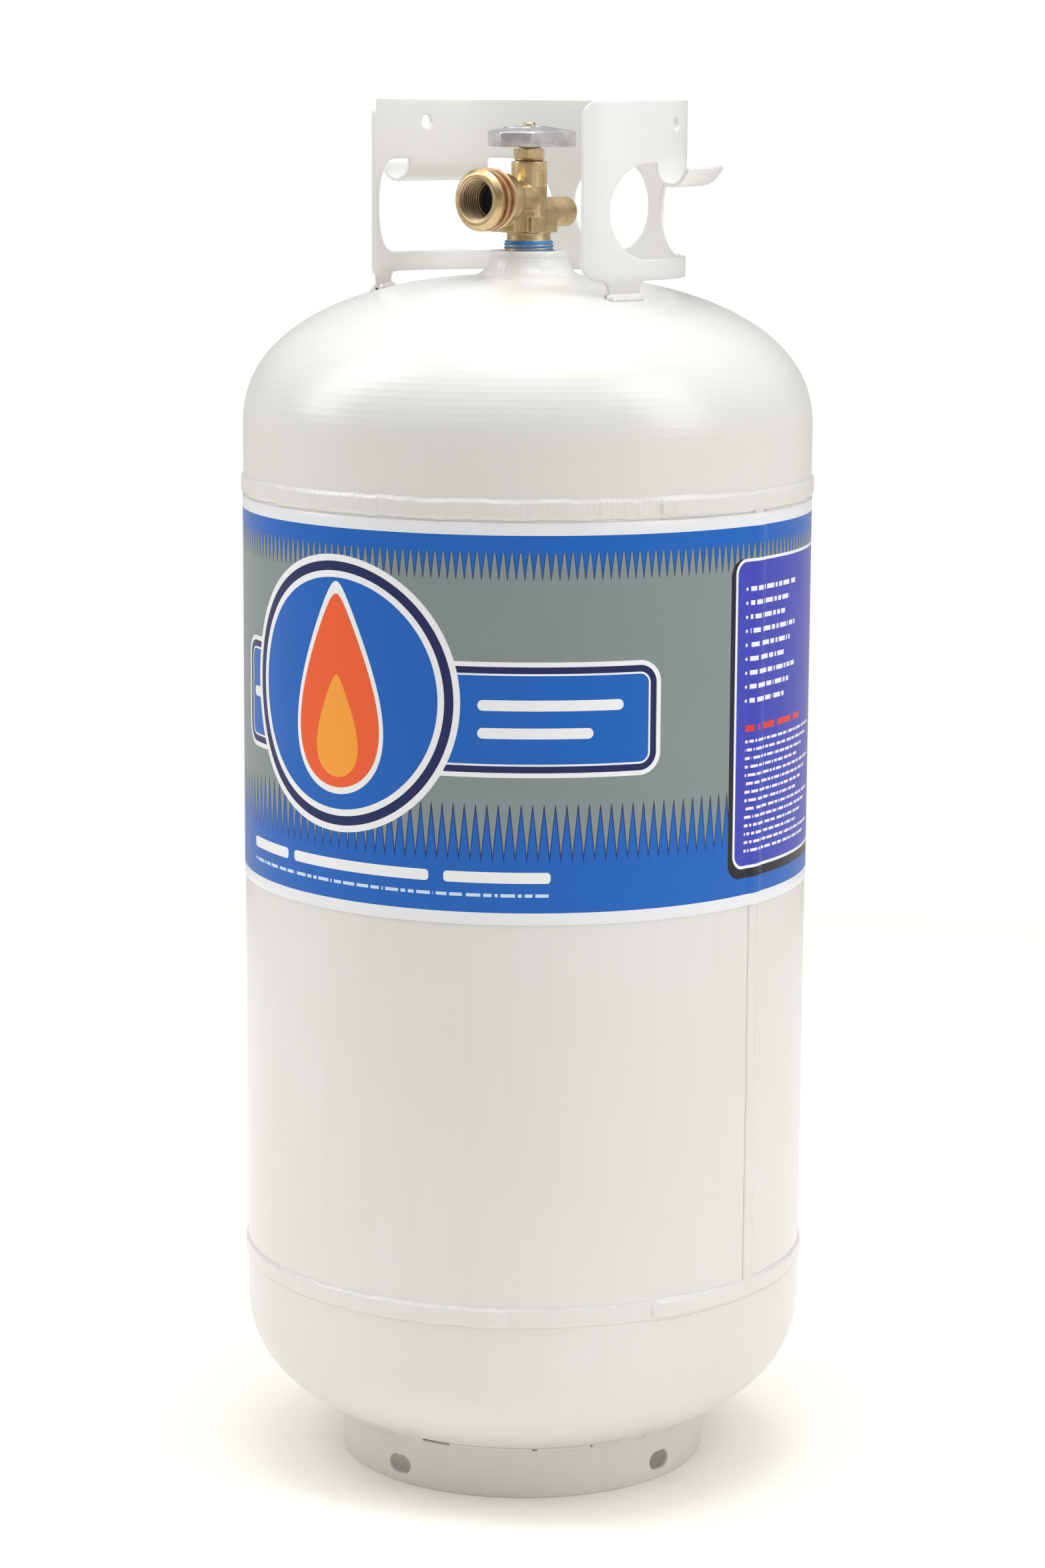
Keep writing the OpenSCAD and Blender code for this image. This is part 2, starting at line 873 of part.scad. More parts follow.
module handwheel_screw()
    color("peru")
        difference() {
            union() {
                rod(wheel_bottom_z + 2, wheel_top_z - 0.6, screw_r);
                rod(wheel_top_z - 0.65, wheel_top_z + 1, screw_head_r);
                translate([0, 0, wheel_top_z + 1])
                    cylinder(r1 = screw_head_r, r2 = screw_head_r - 0.8, h = 0.6);
            }
            translate([-screw_head_r - over, -0.5, wheel_top_z + 0.7])
                cube([2 * screw_head_r + 2 * over, 1, 2]);
        }

// Plug that screws down onto the seat, driven by the spindle's tang
module seat_plug()
    color("goldenrod")
        difference() {
            rod(plug_bottom_z, plug_top_z, plug_r);
            square_bar(plug_socket_z, plug_top_z + over, tang_w + 0.2);
            rod(plug_bottom_z - over, plug_bottom_z + 1, disc_r + gap);
        }

module seat_disc()
    color("black")
        rod(plug_bottom_z + 1 - gap - disc_l, plug_bottom_z + 1 - gap, disc_r);

module outlet_seal()
    color("black")
        along_outlet(seal_back)
            difference() {
                cylinder(r = cavity_r - gap, h = seal_front - seal_back);
                translate([0, 0, -over])
                    cylinder(r = 6.2, h = seal_front - seal_back + 2 * over);
            }

// Cage behind the seal that guides the check plunger and lets the gas through
module check_housing()
    color("darkgoldenrod")
        along_outlet(cavity_reach + gap)
            difference() {
                cylinder(r = cavity_r - gap, h = seal_back - cavity_reach - 2 * gap);
                translate([0, 0, check_floor - cavity_reach])
                    cylinder(r = 7.3, h = seal_back);
                translate([0, 0, -over])
                    cylinder(r = 1.6, h = 2 * cavity_r);
                for (k = [0:3])
                    rotate([0, 0, 90 * k])
                        translate([4.6, 0, -over])
                            cylinder(r = 1.5, h = 2 * cavity_r);
            }

module check_plunger()
    color("dimgray")
        difference() {
            union() {
                along_outlet(cavity_reach + over)
                    cylinder(r = 1.55, h = plunger_flange - cavity_reach);
                along_outlet(plunger_flange)
                    cylinder(r = 6.8, h = 2);
                along_outlet(plunger_flange + 1)
                    cylinder(r = 5.85, h = seal_front - plunger_flange - 1.3);
            }
            along_outlet(seal_front - 0.9)
                cylinder(r = 3.4, h = 2 * over);
        }

module check_spring()
    color("silver")
        along_outlet(check_floor + gap)
            coil_spring(check_coil_r, check_wire_r, plunger_flange - check_floor - 2 * gap, check_turns);

// Guided cup that the relief spring holds on its seat
module relief_poppet()
    color("goldenrod")
        difference() {
            union() {
                along_relief(relief_floor + 1.3)
                    cylinder(r = 5.2, h = 5.7);
                along_relief(relief_floor + 6)
                    cylinder(r = 1.5, h = 9.5);
            }
            along_relief(relief_floor)
                cylinder(r = 4.25, h = 2.75);
            for (k = [0:2])
                along_relief(relief_floor)
                    rotate([0, 0, 120 * k])
                        translate([4.6, -6, 0])
                            cube([3, 12, 8]);
        }

module relief_seat_disc()
    color("black")
        along_relief(relief_floor + 0.9)
            cylinder(r = 4.2, h = 1.8);

module relief_spring()
    color("silver")
        along_relief(relief_floor + 7 + gap)
            coil_spring(relief_coil_r, relief_wire_r, 7.3, relief_turns);

// Ring screwed into the boss to set the relief spring
module relief_adjuster()
    color("goldenrod")
        along_relief(relief_floor + 14.5)
            difference() {
                cylinder(r = relief_bore_r - gap, h = 3.5);
                translate([0, 0, -over])
                    cylinder(r = 1.9, h = 6);
                for (k = [0:3])
                    rotate([0, 0, 90 * k + 45])
                        translate([3.75, 0, -over])
                            cylinder(r = 0.95, h = 6);
            }

module bleeder_screw()
    color("gold")
        difference() {
            union() {
                along_bleed(dip_x + 1.8)
                    cylinder(r1 = 0.8, r2 = bleed_bore_r - gap, h = 1);
                along_bleed(dip_x + 2.8)
                    cylinder(r = bleed_bore_r - gap, h = 4);
                along_bleed(bleed_boss_reach + 0.8)
                    cylinder(r = 4.3, h = 3.2);
            }
            along_bleed(bleed_boss_reach + 2.6)
                translate([-0.5, -6, 0])
                    cube([1, 12, 3]);
        }

module bleeder_seal()
    color("firebrick")
        along_bleed(bleed_boss_reach + gap)
            difference() {
                cylinder(r = 4.3, h = 0.4);
                translate([0, 0, -over])
                    cylinder(r = 2.8, h = 3);
            }

// Thin tube whose lower end marks the 80 percent fill level
module dip_tube()
    color("peru")
        translate([-dip_x, 0, 0])
            tube(dip_bottom_z, shank_bottom_z + 6 - gap, dip_tube_r, bleed_port_r);

// Body of the overfill device: spigot in the valve, shut-off chamber, guide web and fork
module opd_housing()
    color("ivory")
        difference() {
            union() {
                rod(opd_bottom_z, shank_bottom_z - gap, opd_r);
                rod(shank_bottom_z - over, opd_top_z, inlet_r - gap);
            }
            rod(opd_seat_z - over, opd_top_z + over, orifice_r);
            rod(opd_web_z[1], opd_seat_z, opd_bore_r);
            rod(opd_bottom_z, opd_web_z[1] + over, piston_rod_r + gap);
            translate([-2 * opd_r, -fork_gap / 2, opd_bottom_z - over])
                cube([4 * opd_r, fork_gap, opd_web_z[0] - opd_bottom_z + over]);
            translate([-3.5, -2 * opd_r, 600])
                cube([7, 4 * opd_r, 19]);
            translate([0, opd_r + over, pivot_z])
                rotate([90, 0, 0])
                    cylinder(r = pin_r + gap, h = 2 * opd_r + 2 * over);
        }

// Rod, foot and head of the piston that closes the filling way
module opd_piston() {
    foot_z = pivot_z + 5.75;
    color("ivory") {
        rod(foot_z, foot_z + 1.8, piston_foot_r);
        rod(foot_z + 1, opd_seat_z - 7, piston_rod_r);
        rod(opd_seat_z - 8, opd_seat_z - 3.8, opd_bore_r - 0.6);
    }
}

module opd_piston_pad()
    color("black")
        rod(opd_seat_z - 3.8, opd_seat_z - free_gap - piston_lift, opd_bore_r - 0.8);

// Arm with a spiral cam that lifts the piston in step with the float
module float_arm() {
    slope = piston_lift / float_swing;
    lobe = concat(
        [[0, 0]],
        [
            for (a = [cam_from:4:cam_to])
                (cam_base_r + slope * a) * [sin(a), cos(a)]
        ]
    );
    color("silver")
        translate([0, 0, pivot_z])
            difference() {
                union() {
                    rotate([90, 0, 0])
                        translate([0, 0, -cam_w / 2])
                            linear_extrude(cam_w) {
                                circle(r = cam_hub_r);
                                polygon(lobe);
                            }
                    rod(-float_gap - 4, -cam_hub_r + 0.6, arm_rod_r);
                }
                rotate([90, 0, 0])
                    translate([0, 0, -cam_w])
                        cylinder(r = pin_r + gap, h = 2 * cam_w);
            }
}

module float_pivot_pin()
    color("silver")
        translate([0, opd_r - 0.5, pivot_z])
            rotate([90, 0, 0])
                cylinder(r = pin_r, h = 2 * opd_r - 1);

// Closed-cell float with round ends, hanging on its arm
module float() {
    top = pivot_z - float_gap;
    round_r = 4;
    straight = float_l - 2 * round_r;
    color("black")
        difference() {
            translate([0, 0, top - float_l])
                rotate_extrude() {
                    translate([0, round_r])
                        square([float_d / 2, straight]);
                    square([float_d / 2 - round_r, float_l]);
                    for (z = [round_r, round_r + straight])
                        translate([float_d / 2 - round_r, z])
                            intersection() {
                                circle(r = round_r);
                                translate([0, -round_r])
                                    square([round_r, 2 * round_r]);
                            }
                }
            rod(top - 5, top + over, arm_rod_r + gap);
        }
}

top_head();
body_shell();
bottom_head();
upper_girth_weld();
lower_girth_weld();
long_seam_weld();
valve_spud();
spud_weld();
collar();
collar_welds();
foot_ring();
foot_ring_welds();
label_sleeve();
valve_body();
thread_sealant();
gland_nut();
spindle();
stem_seals();
thrust_washer();
handwheel();
handwheel_screw();
seat_plug();
seat_disc();
outlet_seal();
check_housing();
check_plunger();
check_spring();
relief_poppet();
relief_seat_disc();
relief_spring();
relief_adjuster();
bleeder_screw();
bleeder_seal();
dip_tube();
opd_housing();
opd_piston();
opd_piston_pad();
float_arm();
float_pivot_pin();
float();
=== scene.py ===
"""Looks of the propane cylinder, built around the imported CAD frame. Metres, row frame."""
import json
import math

import bmesh
import bpy
from mathutils import Matrix, Vector, noise


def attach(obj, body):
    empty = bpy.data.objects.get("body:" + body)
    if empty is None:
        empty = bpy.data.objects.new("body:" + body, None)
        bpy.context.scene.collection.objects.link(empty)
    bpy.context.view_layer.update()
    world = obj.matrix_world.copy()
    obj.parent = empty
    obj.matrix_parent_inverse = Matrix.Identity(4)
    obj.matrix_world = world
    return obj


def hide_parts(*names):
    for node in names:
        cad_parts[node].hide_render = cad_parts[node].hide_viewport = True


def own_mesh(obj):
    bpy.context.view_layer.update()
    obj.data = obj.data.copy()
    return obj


MM = 0.001
TAU = 2 * math.pi

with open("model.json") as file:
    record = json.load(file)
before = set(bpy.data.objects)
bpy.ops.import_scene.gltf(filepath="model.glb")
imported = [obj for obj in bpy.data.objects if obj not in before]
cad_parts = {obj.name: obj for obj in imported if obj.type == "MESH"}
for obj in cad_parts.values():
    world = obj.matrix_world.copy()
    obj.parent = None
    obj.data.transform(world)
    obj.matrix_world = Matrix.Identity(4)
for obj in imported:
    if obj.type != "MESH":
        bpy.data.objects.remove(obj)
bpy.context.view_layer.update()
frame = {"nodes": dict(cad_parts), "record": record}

# Sizes that the CAD design fixes, in millimetres. Azimuths run from -Y towards +X, in degrees.
SHELL_R = 155.0
TOP_HEAD = dict(tangent=576.9, rise=81.4, power=2.27)
BOTTOM_HEAD = dict(tangent=94.0, rise=-79.8, power=2.36)
UPPER_WELD, LOWER_WELD = 546.0, 119.0
SEAM_AZ = 90.5
COLLAR_R, COLLAR_INSIDE, COLLAR_TURN = 85.0, 82.5, 4.0
FOOT_CORNER = (101.6, 27.0)
SLEEVE_LOW, SLEEVE_HIGH = 330.5, 539.5
OUTLET_Z, RELIEF_Z, BLEEDER_Z = 698.6, 691.2, 685.0
SPUD_R, SPUD_TOP = 21.5, 671.0
WHEEL_R, WHEEL_TURN, WHEEL_HALF = 26.0, 20.3, 20.5
WHEEL_TOP, WHEEL_DOME = 737.6, 3.6


# ---------------------------------------------------------------- places and meshes
def on_azimuth(az, r, z):
    """Point in metres at azimuth az (degrees), radius r and height z (millimetres)."""
    a = math.radians(az)
    return Vector((math.sin(a) * r, -math.cos(a) * r, z)) * MM


def loop_point(az, r, z):
    """Point on a circle, where noise is sampled so that it meets itself after a full turn."""
    a = math.radians(az)
    return Vector((math.cos(a) * r, math.sin(a) * r, z))


def head_z(r, tangent, rise, power):
    """Height of a head's outside at radius r."""
    return tangent + rise * max(0.0, 1 - (r / SHELL_R) ** power) ** (1 / power)


def smooth_noise(p, scale, octaves=2):
    return noise.fractal(Vector(p) * scale, 0.6, 2.0, octaves, noise_basis="PERLIN_ORIGINAL")


def add_object(name, mesh, material, body="cylinder", replaces=()):
    obj = bpy.data.objects.new(name, mesh)
    bpy.context.scene.collection.objects.link(obj)
    if material is not None:
        mesh.materials.clear()
        mesh.materials.append(material)
    for poly in mesh.polygons:
        poly.use_smooth = True
    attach(obj, body)
    if replaces:
        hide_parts(*replaces)
    return obj


def mesh_from(name, verts, faces):
    mesh = bpy.data.meshes.new(name)
    mesh.from_pydata([tuple(v) for v in verts], [], faces)
    mesh.validate()
    mesh.update()
    return mesh


def grid_mesh(name, rows, wrap_u=False, wrap_v=False, caps=False):
    """Quads over a grid of points, rows[i][j]. wrap_u joins the last row to the first, and wrap_v closes
    each row on itself."""
    n, m = len(rows), len(rows[0])
    verts = [p for row in rows for p in row]
    faces = []
    for i in range(n if wrap_u else n - 1):
        for j in range(m if wrap_v else m - 1):
            a, b = i * m + j, i * m + (j + 1) % m
            c, d = ((i + 1) % n) * m + (j + 1) % m, ((i + 1) % n) * m + j
            faces.append((a, b, c, d))
    if caps:
        faces.append(tuple(range(m - 1, -1, -1)))
        faces.append(tuple((n - 1) * m + j for j in range(m)))
    return mesh_from(name, verts, faces)


def outward(mesh):
    """Makes every face look out of its closed shell."""
    bm = bmesh.new()
    bm.from_mesh(mesh)
    bmesh.ops.recalc_face_normals(bm, faces=bm.faces)
    bm.to_mesh(mesh)
    bm.free()
    return mesh


def revolve(name, profile, steps=192):
    """Turns a closed profile of (radius, z) millimetres round the vessel's axis."""
    rows = [[on_azimuth(360.0 * i / steps, r, z) for r, z in profile] for i in range(steps)]
    return outward(grid_mesh(name, rows, wrap_u=True, wrap_v=True))


def rounded(points, radius, steps=4):
    """Closed outline with each corner replaced by an arc; radius is one number or one for each corner."""
    out = []
    n = len(points)
    for i in range(n):
        r = radius[i] if isinstance(radius, (list, tuple)) else radius
        prev, here, nxt = (Vector(points[(i + k) % n]) for k in (-1, 0, 1))
        a, b = (prev - here), (nxt - here)
        r = min(r, 0.45 * min(a.length, b.length))
        if r < 1e-4:
            out.append(tuple(here))
            continue
        a, b = a.normalized() * r, b.normalized() * r
        for k in range(steps + 1):
            t = k / steps
            p = here + a * (1 - t) ** 2 + b * t * t
            out.append(tuple(p))
    return out


def apply_modifiers(obj):
    """Turns an object's modifiers into mesh."""
    bpy.context.view_layer.update()
    graph = bpy.context.evaluated_depsgraph_get()
    mesh = bpy.data.meshes.new_from_object(obj.evaluated_get(graph))
    obj.modifiers.clear()
    obj.data = mesh
    return obj


def displaced(mesh, push):
    """Moves each vertex along its normal by push(position), in metres."""
    normals = [v.normal.copy() for v in mesh.vertices]
    places = [v.co.copy() for v in mesh.vertices]
    for v, n, p in zip(mesh.vertices, normals, places):
        v.co = p + n * push(p)
    mesh.update()
    return mesh


# ---------------------------------------------------------------- shader arithmetic
class Value:
    """A number that varies over a surface. Arithmetic on it adds Math nodes."""

    def __init__(self, tree, source):
        self.tree, self.source = tree, source

    def op(self, kind, *others):
        node = self.tree.nodes.new("ShaderNodeMath")
        node.operation = kind
        for socket, value in zip(node.inputs, (self, *others)):
            if isinstance(value, Value):
                self.tree.links.new(value.source, socket)
            else:
                socket.default_value = value
        return Value(self.tree, node.outputs[0])

    def __add__(self, o):
        return self.op("ADD", o)

    def __sub__(self, o):
        return self.op("SUBTRACT", o)

    def __mul__(self, o):
        return self.op("MULTIPLY", o)

    def __truediv__(self, o):
        return self.op("DIVIDE", o)

    def less(self, o):
        return self.op("LESS_THAN", o)

    def more(self, o):
        return self.op("GREATER_THAN", o)

    def abs(self):
        return self.op("ABSOLUTE")

    def max(self, o):
        return self.op("MAXIMUM", o)

    def fract(self):
        return self.op("FRACT")

    def root(self):
        return self.op("SQRT")

    def soft(self, low, high):
        """0 below low, 1 above high, smooth between."""
        node = self.tree.nodes.new("ShaderNodeMapRange")
        node.interpolation_type = "SMOOTHSTEP"
        self.tree.links.new(self.source, node.inputs["Value"])
        node.inputs["From Min"].default_value = low
        node.inputs["From Max"].default_value = high
        return Value(self.tree, node.outputs["Result"])


class Surface:
    """A Principled material with procedural detail in object space."""

    def __init__(self, name, colour, roughness, metallic=0.0, coat=0.0, specular=0.5):
        self.mat = bpy.data.materials.new(name)
        self.mat.use_nodes = True
        self.tree = self.mat.node_tree
        self.shader = self.tree.nodes["Principled BSDF"]
        self.shader.inputs["Base Color"].default_value = (*colour, 1)
        self.shader.inputs["Roughness"].default_value = roughness
        self.shader.inputs["Metallic"].default_value = metallic
        self.shader.inputs["Coat Weight"].default_value = coat
        self.shader.inputs["Coat Roughness"].default_value = 0.08
        self.shader.inputs["Specular IOR Level"].default_value = specular
        self.coords = self.tree.nodes.new("ShaderNodeTexCoord").outputs["Object"]
        self.height = None

    def axes(self):
        node = self.tree.nodes.new("ShaderNodeSeparateXYZ")
        self.tree.links.new(self.coords, node.inputs[0])
        return [Value(self.tree, node.outputs[i]) / MM for i in range(3)]

    def noise(self, scale, detail=2.0, stretch=None):
        node = self.tree.nodes.new("ShaderNodeTexNoise")
        node.inputs["Scale"].default_value = scale
        node.inputs["Detail"].default_value = detail
        source = self.coords
        if stretch:
            mapping = self.tree.nodes.new("ShaderNodeMapping")
            mapping.inputs["Scale"].default_value = stretch
            self.tree.links.new(self.coords, mapping.inputs["Vector"])
            source = mapping.outputs[0]
        self.tree.links.new(source, node.inputs["Vector"])
        return Value(self.tree, node.outputs["Fac"])

    def mix(self, mask, low, high):
        """Colour that goes from low to high as mask goes from 0 to 1; each is a colour or a socket."""
        node = self.tree.nodes.new("ShaderNodeMix")
        node.data_type = "RGBA"
        self.tree.links.new(mask.source, node.inputs[0])
        for socket, colour in ((node.inputs[6], low), (node.inputs[7], high)):
            if isinstance(colour, (tuple, list)):
                socket.default_value = (*colour, 1)
            else:
                self.tree.links.new(colour, socket)
        return node.outputs[2]

    def colour(self, socket):
        self.tree.links.new(socket, self.shader.inputs["Base Color"])

    def rough(self, value):
        self.tree.links.new(value.source, self.shader.inputs["Roughness"])

    def bump(self, value, distance, strength=1.0):
        """Adds a bump of the given distance in metres over any bump already there."""
        node = self.tree.nodes.new("ShaderNodeBump")
        node.inputs["Distance"].default_value = distance
        node.inputs["Strength"].default_value = strength
        self.tree.links.new(value.source, node.inputs["Height"])
        if self.height is not None:
            self.tree.links.new(self.height, node.inputs["Normal"])
        self.height = node.outputs[0]
        self.tree.links.new(self.height, self.shader.inputs["Normal"])


def make_paint():
    """White enamel, with faint upright streaks from rolling and a few rubbed specks. It is painted whiter on
    the boss and
    collar, above the head: a painted highlight where the top catches the light."""
    s = Surface("white_paint", (0.735, 0.728, 0.70), 0.33, coat=0.2)
    s.shader.inputs["Coat Roughness"].default_value = 0.22
    haze, streak = s.noise(7, 2), s.noise(90, 2, stretch=(1, 1, 0.04))
    speck = s.noise(420, 4, stretch=(1, 1, 0.5)).soft(0.70, 0.8)
    clean = s.mix(haze.soft(0.25, 0.75), (0.725, 0.714, 0.682), (0.75, 0.742, 0.718))
    clean = s.mix(streak.soft(0.45, 0.8) * 0.35, clean, (0.70, 0.69, 0.66))
    # Painted highlight: the paint turns whiter above the head, on the boss and collar, where the top catches
    # the light
    painted_top_highlight = s.axes()[2].soft(654.0, 664.0)
    clean = s.mix(painted_top_highlight * 0.75, clean, (0.86, 0.857, 0.84))
    s.colour(s.mix(speck * 0.2, clean, (0.66, 0.64, 0.60)))
    s.rough(haze * 0.06 + 0.27 + speck * 0.12)
    s.bump(s.noise(420, 2), 0.00006, 0.5)
    return s.mat


def make_forged_brass():
    s = Surface("forged_brass", (0.56, 0.42, 0.23), 0.42, metallic=1.0)
    patch, grain = s.noise(90, 4), s.noise(900, 3)
    tone = s.mix(patch.soft(0.3, 0.7), (0.50, 0.365, 0.19), (0.66, 0.52, 0.31))
    s.colour(s.mix(grain.soft(0.55, 0.75) * 0.5, tone, (0.34, 0.235, 0.12)))
    s.rough(grain * 0.2 + 0.32)
    s.bump(grain, 0.00022, 0.65)
    s.bump(patch, 0.0005, 0.3)
    return s.mat


def make_turned_brass(name, low, high, roughness=0.2):
    s = Surface(name, low, roughness, metallic=1.0)
    lathe = s.noise(350, 2, stretch=(0.4, 0.4, 6))
    s.colour(s.mix(s.noise(120, 3).soft(0.3, 0.7), low, high))
    s.rough(lathe * 0.12 + roughness)
    s.bump(lathe, 0.00004, 0.5)
    return s.mat


def make_cast_metal():
    s = Surface("cast_wheel", (0.50, 0.495, 0.50), 0.38, metallic=0.7)
    patch, pits = s.noise(140, 4), s.noise(1300, 2).soft(0.64, 0.74)
    tone = s.mix(patch.soft(0.3, 0.7), (0.47, 0.465, 0.475), (0.62, 0.61, 0.62))
    s.colour(s.mix(pits * 0.25, tone, (0.30, 0.29, 0.30)))
    s.rough(patch * 0.2 + 0.26)
    s.bump(pits * -1.0, 0.00008, 0.5)
    s.bump(patch, 0.0005, 0.35)
    return s.mat


def make_plain(name, colour, dark, roughness, scale, metallic=0.0, depth=0.0001):
    """Moulded or drawn material with mottling and a fine texture."""
    s = Surface(name, colour, roughness, metallic=metallic)
    fine = s.noise(scale * 6, 3)
    s.colour(s.mix(s.noise(scale, 3).soft(0.3, 0.7), colour, dark))
    s.rough(fine * 0.2 + (roughness - 0.1))
    s.bump(fine, depth, 0.5)
    return s.mat


WHITE, NAVY = (0.86, 0.87, 0.88), (0.010, 0.016, 0.10)
ORANGE, AMBER = (0.84, 0.115, 0.030), (0.92, 0.36, 0.04)
BLUE, GREY, VIOLET = (0.006, 0.12, 0.50), (0.225, 0.27, 0.268), (0.045, 0.058, 0.46)


def make_label():
    """Print of the sleeve. Arc length u and height z are in millimetres, u from azimuth 0."""
    s = Surface("label_print", GREY, 0.3, coat=0.15, specular=0.35)
    x, y, z = s.axes()
    u = x.op("ARCTAN2", y * -1.0) * SHELL_R

    def arc(az):
        return math.radians(az) * SHELL_R

    def spikes(period, tip, foot):
        """Mask of a row of spikes that narrow from foot to tip, and of their dark outlines."""
        across = ((u / period + 400.0).fract() - 0.5).abs() * 2.0
        along = (z - tip) / (foot - tip)
        fill = (across - along).less(0.0) * along.more(0.0)
        line = (across - along - 0.16).less(0.0) * (along + 0.1).more(0.0)
        return fill, line

    def disc(cu, cz, r, u=u):
        """Distance from a disc."""
        return ((u - cu) * (u - cu) + (z - cz) * (z - cz)).root() - r

    def panel(cu, cz, half_u, half_z, r, u=u):
        """Distance from a rectangle with round corners."""
        du = ((u - cu).abs() - (half_u - r)).max(0.0)
        dz = ((z - cz).abs() - (half_z - r)).max(0.0)
        return (du * du + dz * dz).root() - r

    def inside(distance, grow=0.0):
        return distance.less(grow)

    def words(cz, left, right, tall, seed, mean=9.0):
        """Plain bar broken into word-like lengths, with no letters."""
        gaps = ((u / mean + seed).fract() - 0.5).abs().less(0.42)
        more = ((u / (mean * 1.73) + seed * 0.37).fract() - 0.5).abs().less(0.45)
        bar = (z - cz).abs().less(tall / 2) * u.more(left) * u.less(right)
        return bar * gaps * more

    ink = s.mix(s.noise(25, 2).soft(0.3, 0.7) * 0.5, GREY, (0.235, 0.29, 0.295))
    # Bottom band and top band, each with its spikes
    for period, tip, foot, solid in ((5.9, 391.0, 363.0, z.less(363.0)), (4.45, 512.0, 530.0, z.more(524.0))):
        fill, line = spikes(period, tip, foot)
        ink = s.mix(line, ink, NAVY)
        ink = s.mix(fill, ink, BLUE)
        ink = s.mix(solid, ink, BLUE)
    # Emblem, front and back: a plain banner behind a round badge with one drop-shaped flame. e is the arc
    # length from the nearer of the two emblems' middles.
    half_turn = math.pi * SHELL_R
    e = (((u - arc(10.5)) / half_turn + 4.5).fract() - 0.5) * half_turn
    badge_e, badge_z = -30.0, 446.0
    ribbon = panel(14.0, badge_z - 8.0, 128.0, 23.0, 5.0, e)
    for grow, tone in ((7.0, WHITE), (4.5, NAVY), (1.0, WHITE), (0.0, BLUE)):
        ink = s.mix(inside(ribbon, grow), ink, tone)
    for cu, cz, half in ((90.0, 445.5, 38.0), (82.0, 431.0, 30.0), (-104.0, 438.0, 7.0)):
        ink = s.mix(inside(panel(cu, cz, half, 2.8, 2.8, e)), ink, WHITE)
    badge = disc(badge_e, badge_z, 0.0, e)
    for size, tone in ((73.0, WHITE), (69.5, NAVY), (64.5, WHITE), (61.0, BLUE)):
        ink = s.mix(badge.less(size), ink, tone)
    flames = ((393.0, 112.0, 84.0, WHITE), (396.5, 102.0, 77.0, ORANGE), (402.0, 54.0, 40.0, AMBER))
    for low, tall, wide, tone in flames:
        rise = (z - low) / tall
        belly = (rise * (rise * -1.0 + 1.0)).max(0.0).root() * (rise * -0.72 + 1.0)
        ink = s.mix((e - badge_e).abs().less(belly * wide) * rise.more(0.0) * rise.less(1.0), ink, tone)
    # Plain bars in place of the lines of print on the lower band
    for az, half in ((-23.0, 21.0), (3.5, 45.0), (33.5, 28.0)):
        ink = s.mix(inside(panel(arc(az), 355.5, half, 2.9, 2.0)), ink, WHITE)
    ink = s.mix(words(346.2, arc(-31.0), arc(43.5), 1.7, 0.77, 9.0), ink, (0.62, 0.74, 0.88))
    # Information panel: shadow, border, ground and bars
    left, right = arc(83.6), arc(139.0)
    cu, half_u = (left + right) / 2, (right - left) / 2
    ink = s.mix(inside(panel(cu - 1.5, 431.0, half_u + 2.0, 85.0, 9.0)), ink, (0.01, 0.01, 0.02))
    ink = s.mix(inside(panel(cu, 433.5, half_u, 82.5, 8.0)), ink, WHITE)
    ink = s.mix(inside(panel(cu, 433.5, half_u - 1.6, 80.9, 6.6)), ink, VIOLET)
    start = left + 9.0
    for k in range(9):
        cz = 500.0 - 7.4 * k
        ink = s.mix(words(cz, start + 3.0, start + 52.0 - 7.0 * (k % 3), 2.5, 0.13 * k), ink, WHITE)
        ink = s.mix(inside(disc(start, cz, 0.9)), ink, WHITE)
    ink = s.mix(words(426.0, start, start + 62.0, 3.4, 0.4, 21.0), ink, (0.75, 0.04, 0.03))
    for k in range(14):
        cz = 419.0 - 4.5 * k
        ink = s.mix(words(cz, start, start + 86.0 - 9.0 * (k % 4), 1.5, 0.29 * k, 7.0), ink, WHITE)
    # White borders and the fine line under the top one
    ink = s.mix((z - 534.0).abs().less(0.3), ink, NAVY)
    border = z.more(533.0).max(z.less(337.0))
    s.colour(s.mix(border, ink, (0.80, 0.82, 0.84)))
    s.rough(s.noise(22, 3) * 0.1 + 0.25)
    s.bump(s.noise(300, 2), 0.00005, 0.4)
    return s.mat


paint = make_paint()
forged = make_forged_brass()
machined = make_turned_brass("machined_brass", (0.66, 0.49, 0.25), (0.76, 0.60, 0.36))
# Painted shade: a darker copy of the turned brass, for the inside of the outlet's bore where shade falls
shaded_bore_brass = make_turned_brass("shaded_bore_brass", (0.36, 0.26, 0.17), (0.48, 0.36, 0.24), 0.3)
coppery = make_turned_brass("dull_brass", (0.50, 0.30, 0.16), (0.62, 0.41, 0.24), 0.32)
cast = make_cast_metal()
label = make_label()
rubber = make_plain("black_nitrile", (0.022, 0.02, 0.028), (0.035, 0.032, 0.042), 0.42, 200)
resin = make_plain("white_acetal", (0.72, 0.71, 0.66), (0.66, 0.65, 0.60), 0.4, 120)
dark_resin = make_plain("dark_acetal", (0.03, 0.024, 0.045), (0.05, 0.04, 0.065), 0.35, 150)
steel = make_plain("drawn_wire", (0.55, 0.55, 0.56), (0.42, 0.42, 0.43), 0.28, 300, metallic=1.0)
sealant = make_plain("blue_sealant", (0.015, 0.20, 0.66), (0.03, 0.31, 0.80), 0.5, 500, depth=0.0004)
fibre = make_plain("red_fibre", (0.36, 0.035, 0.025), (0.26, 0.03, 0.02), 0.7, 400)
foam = make_plain("float_foam", (0.03, 0.03, 0.03), (0.05, 0.05, 0.05), 0.8, 500, depth=0.0003)

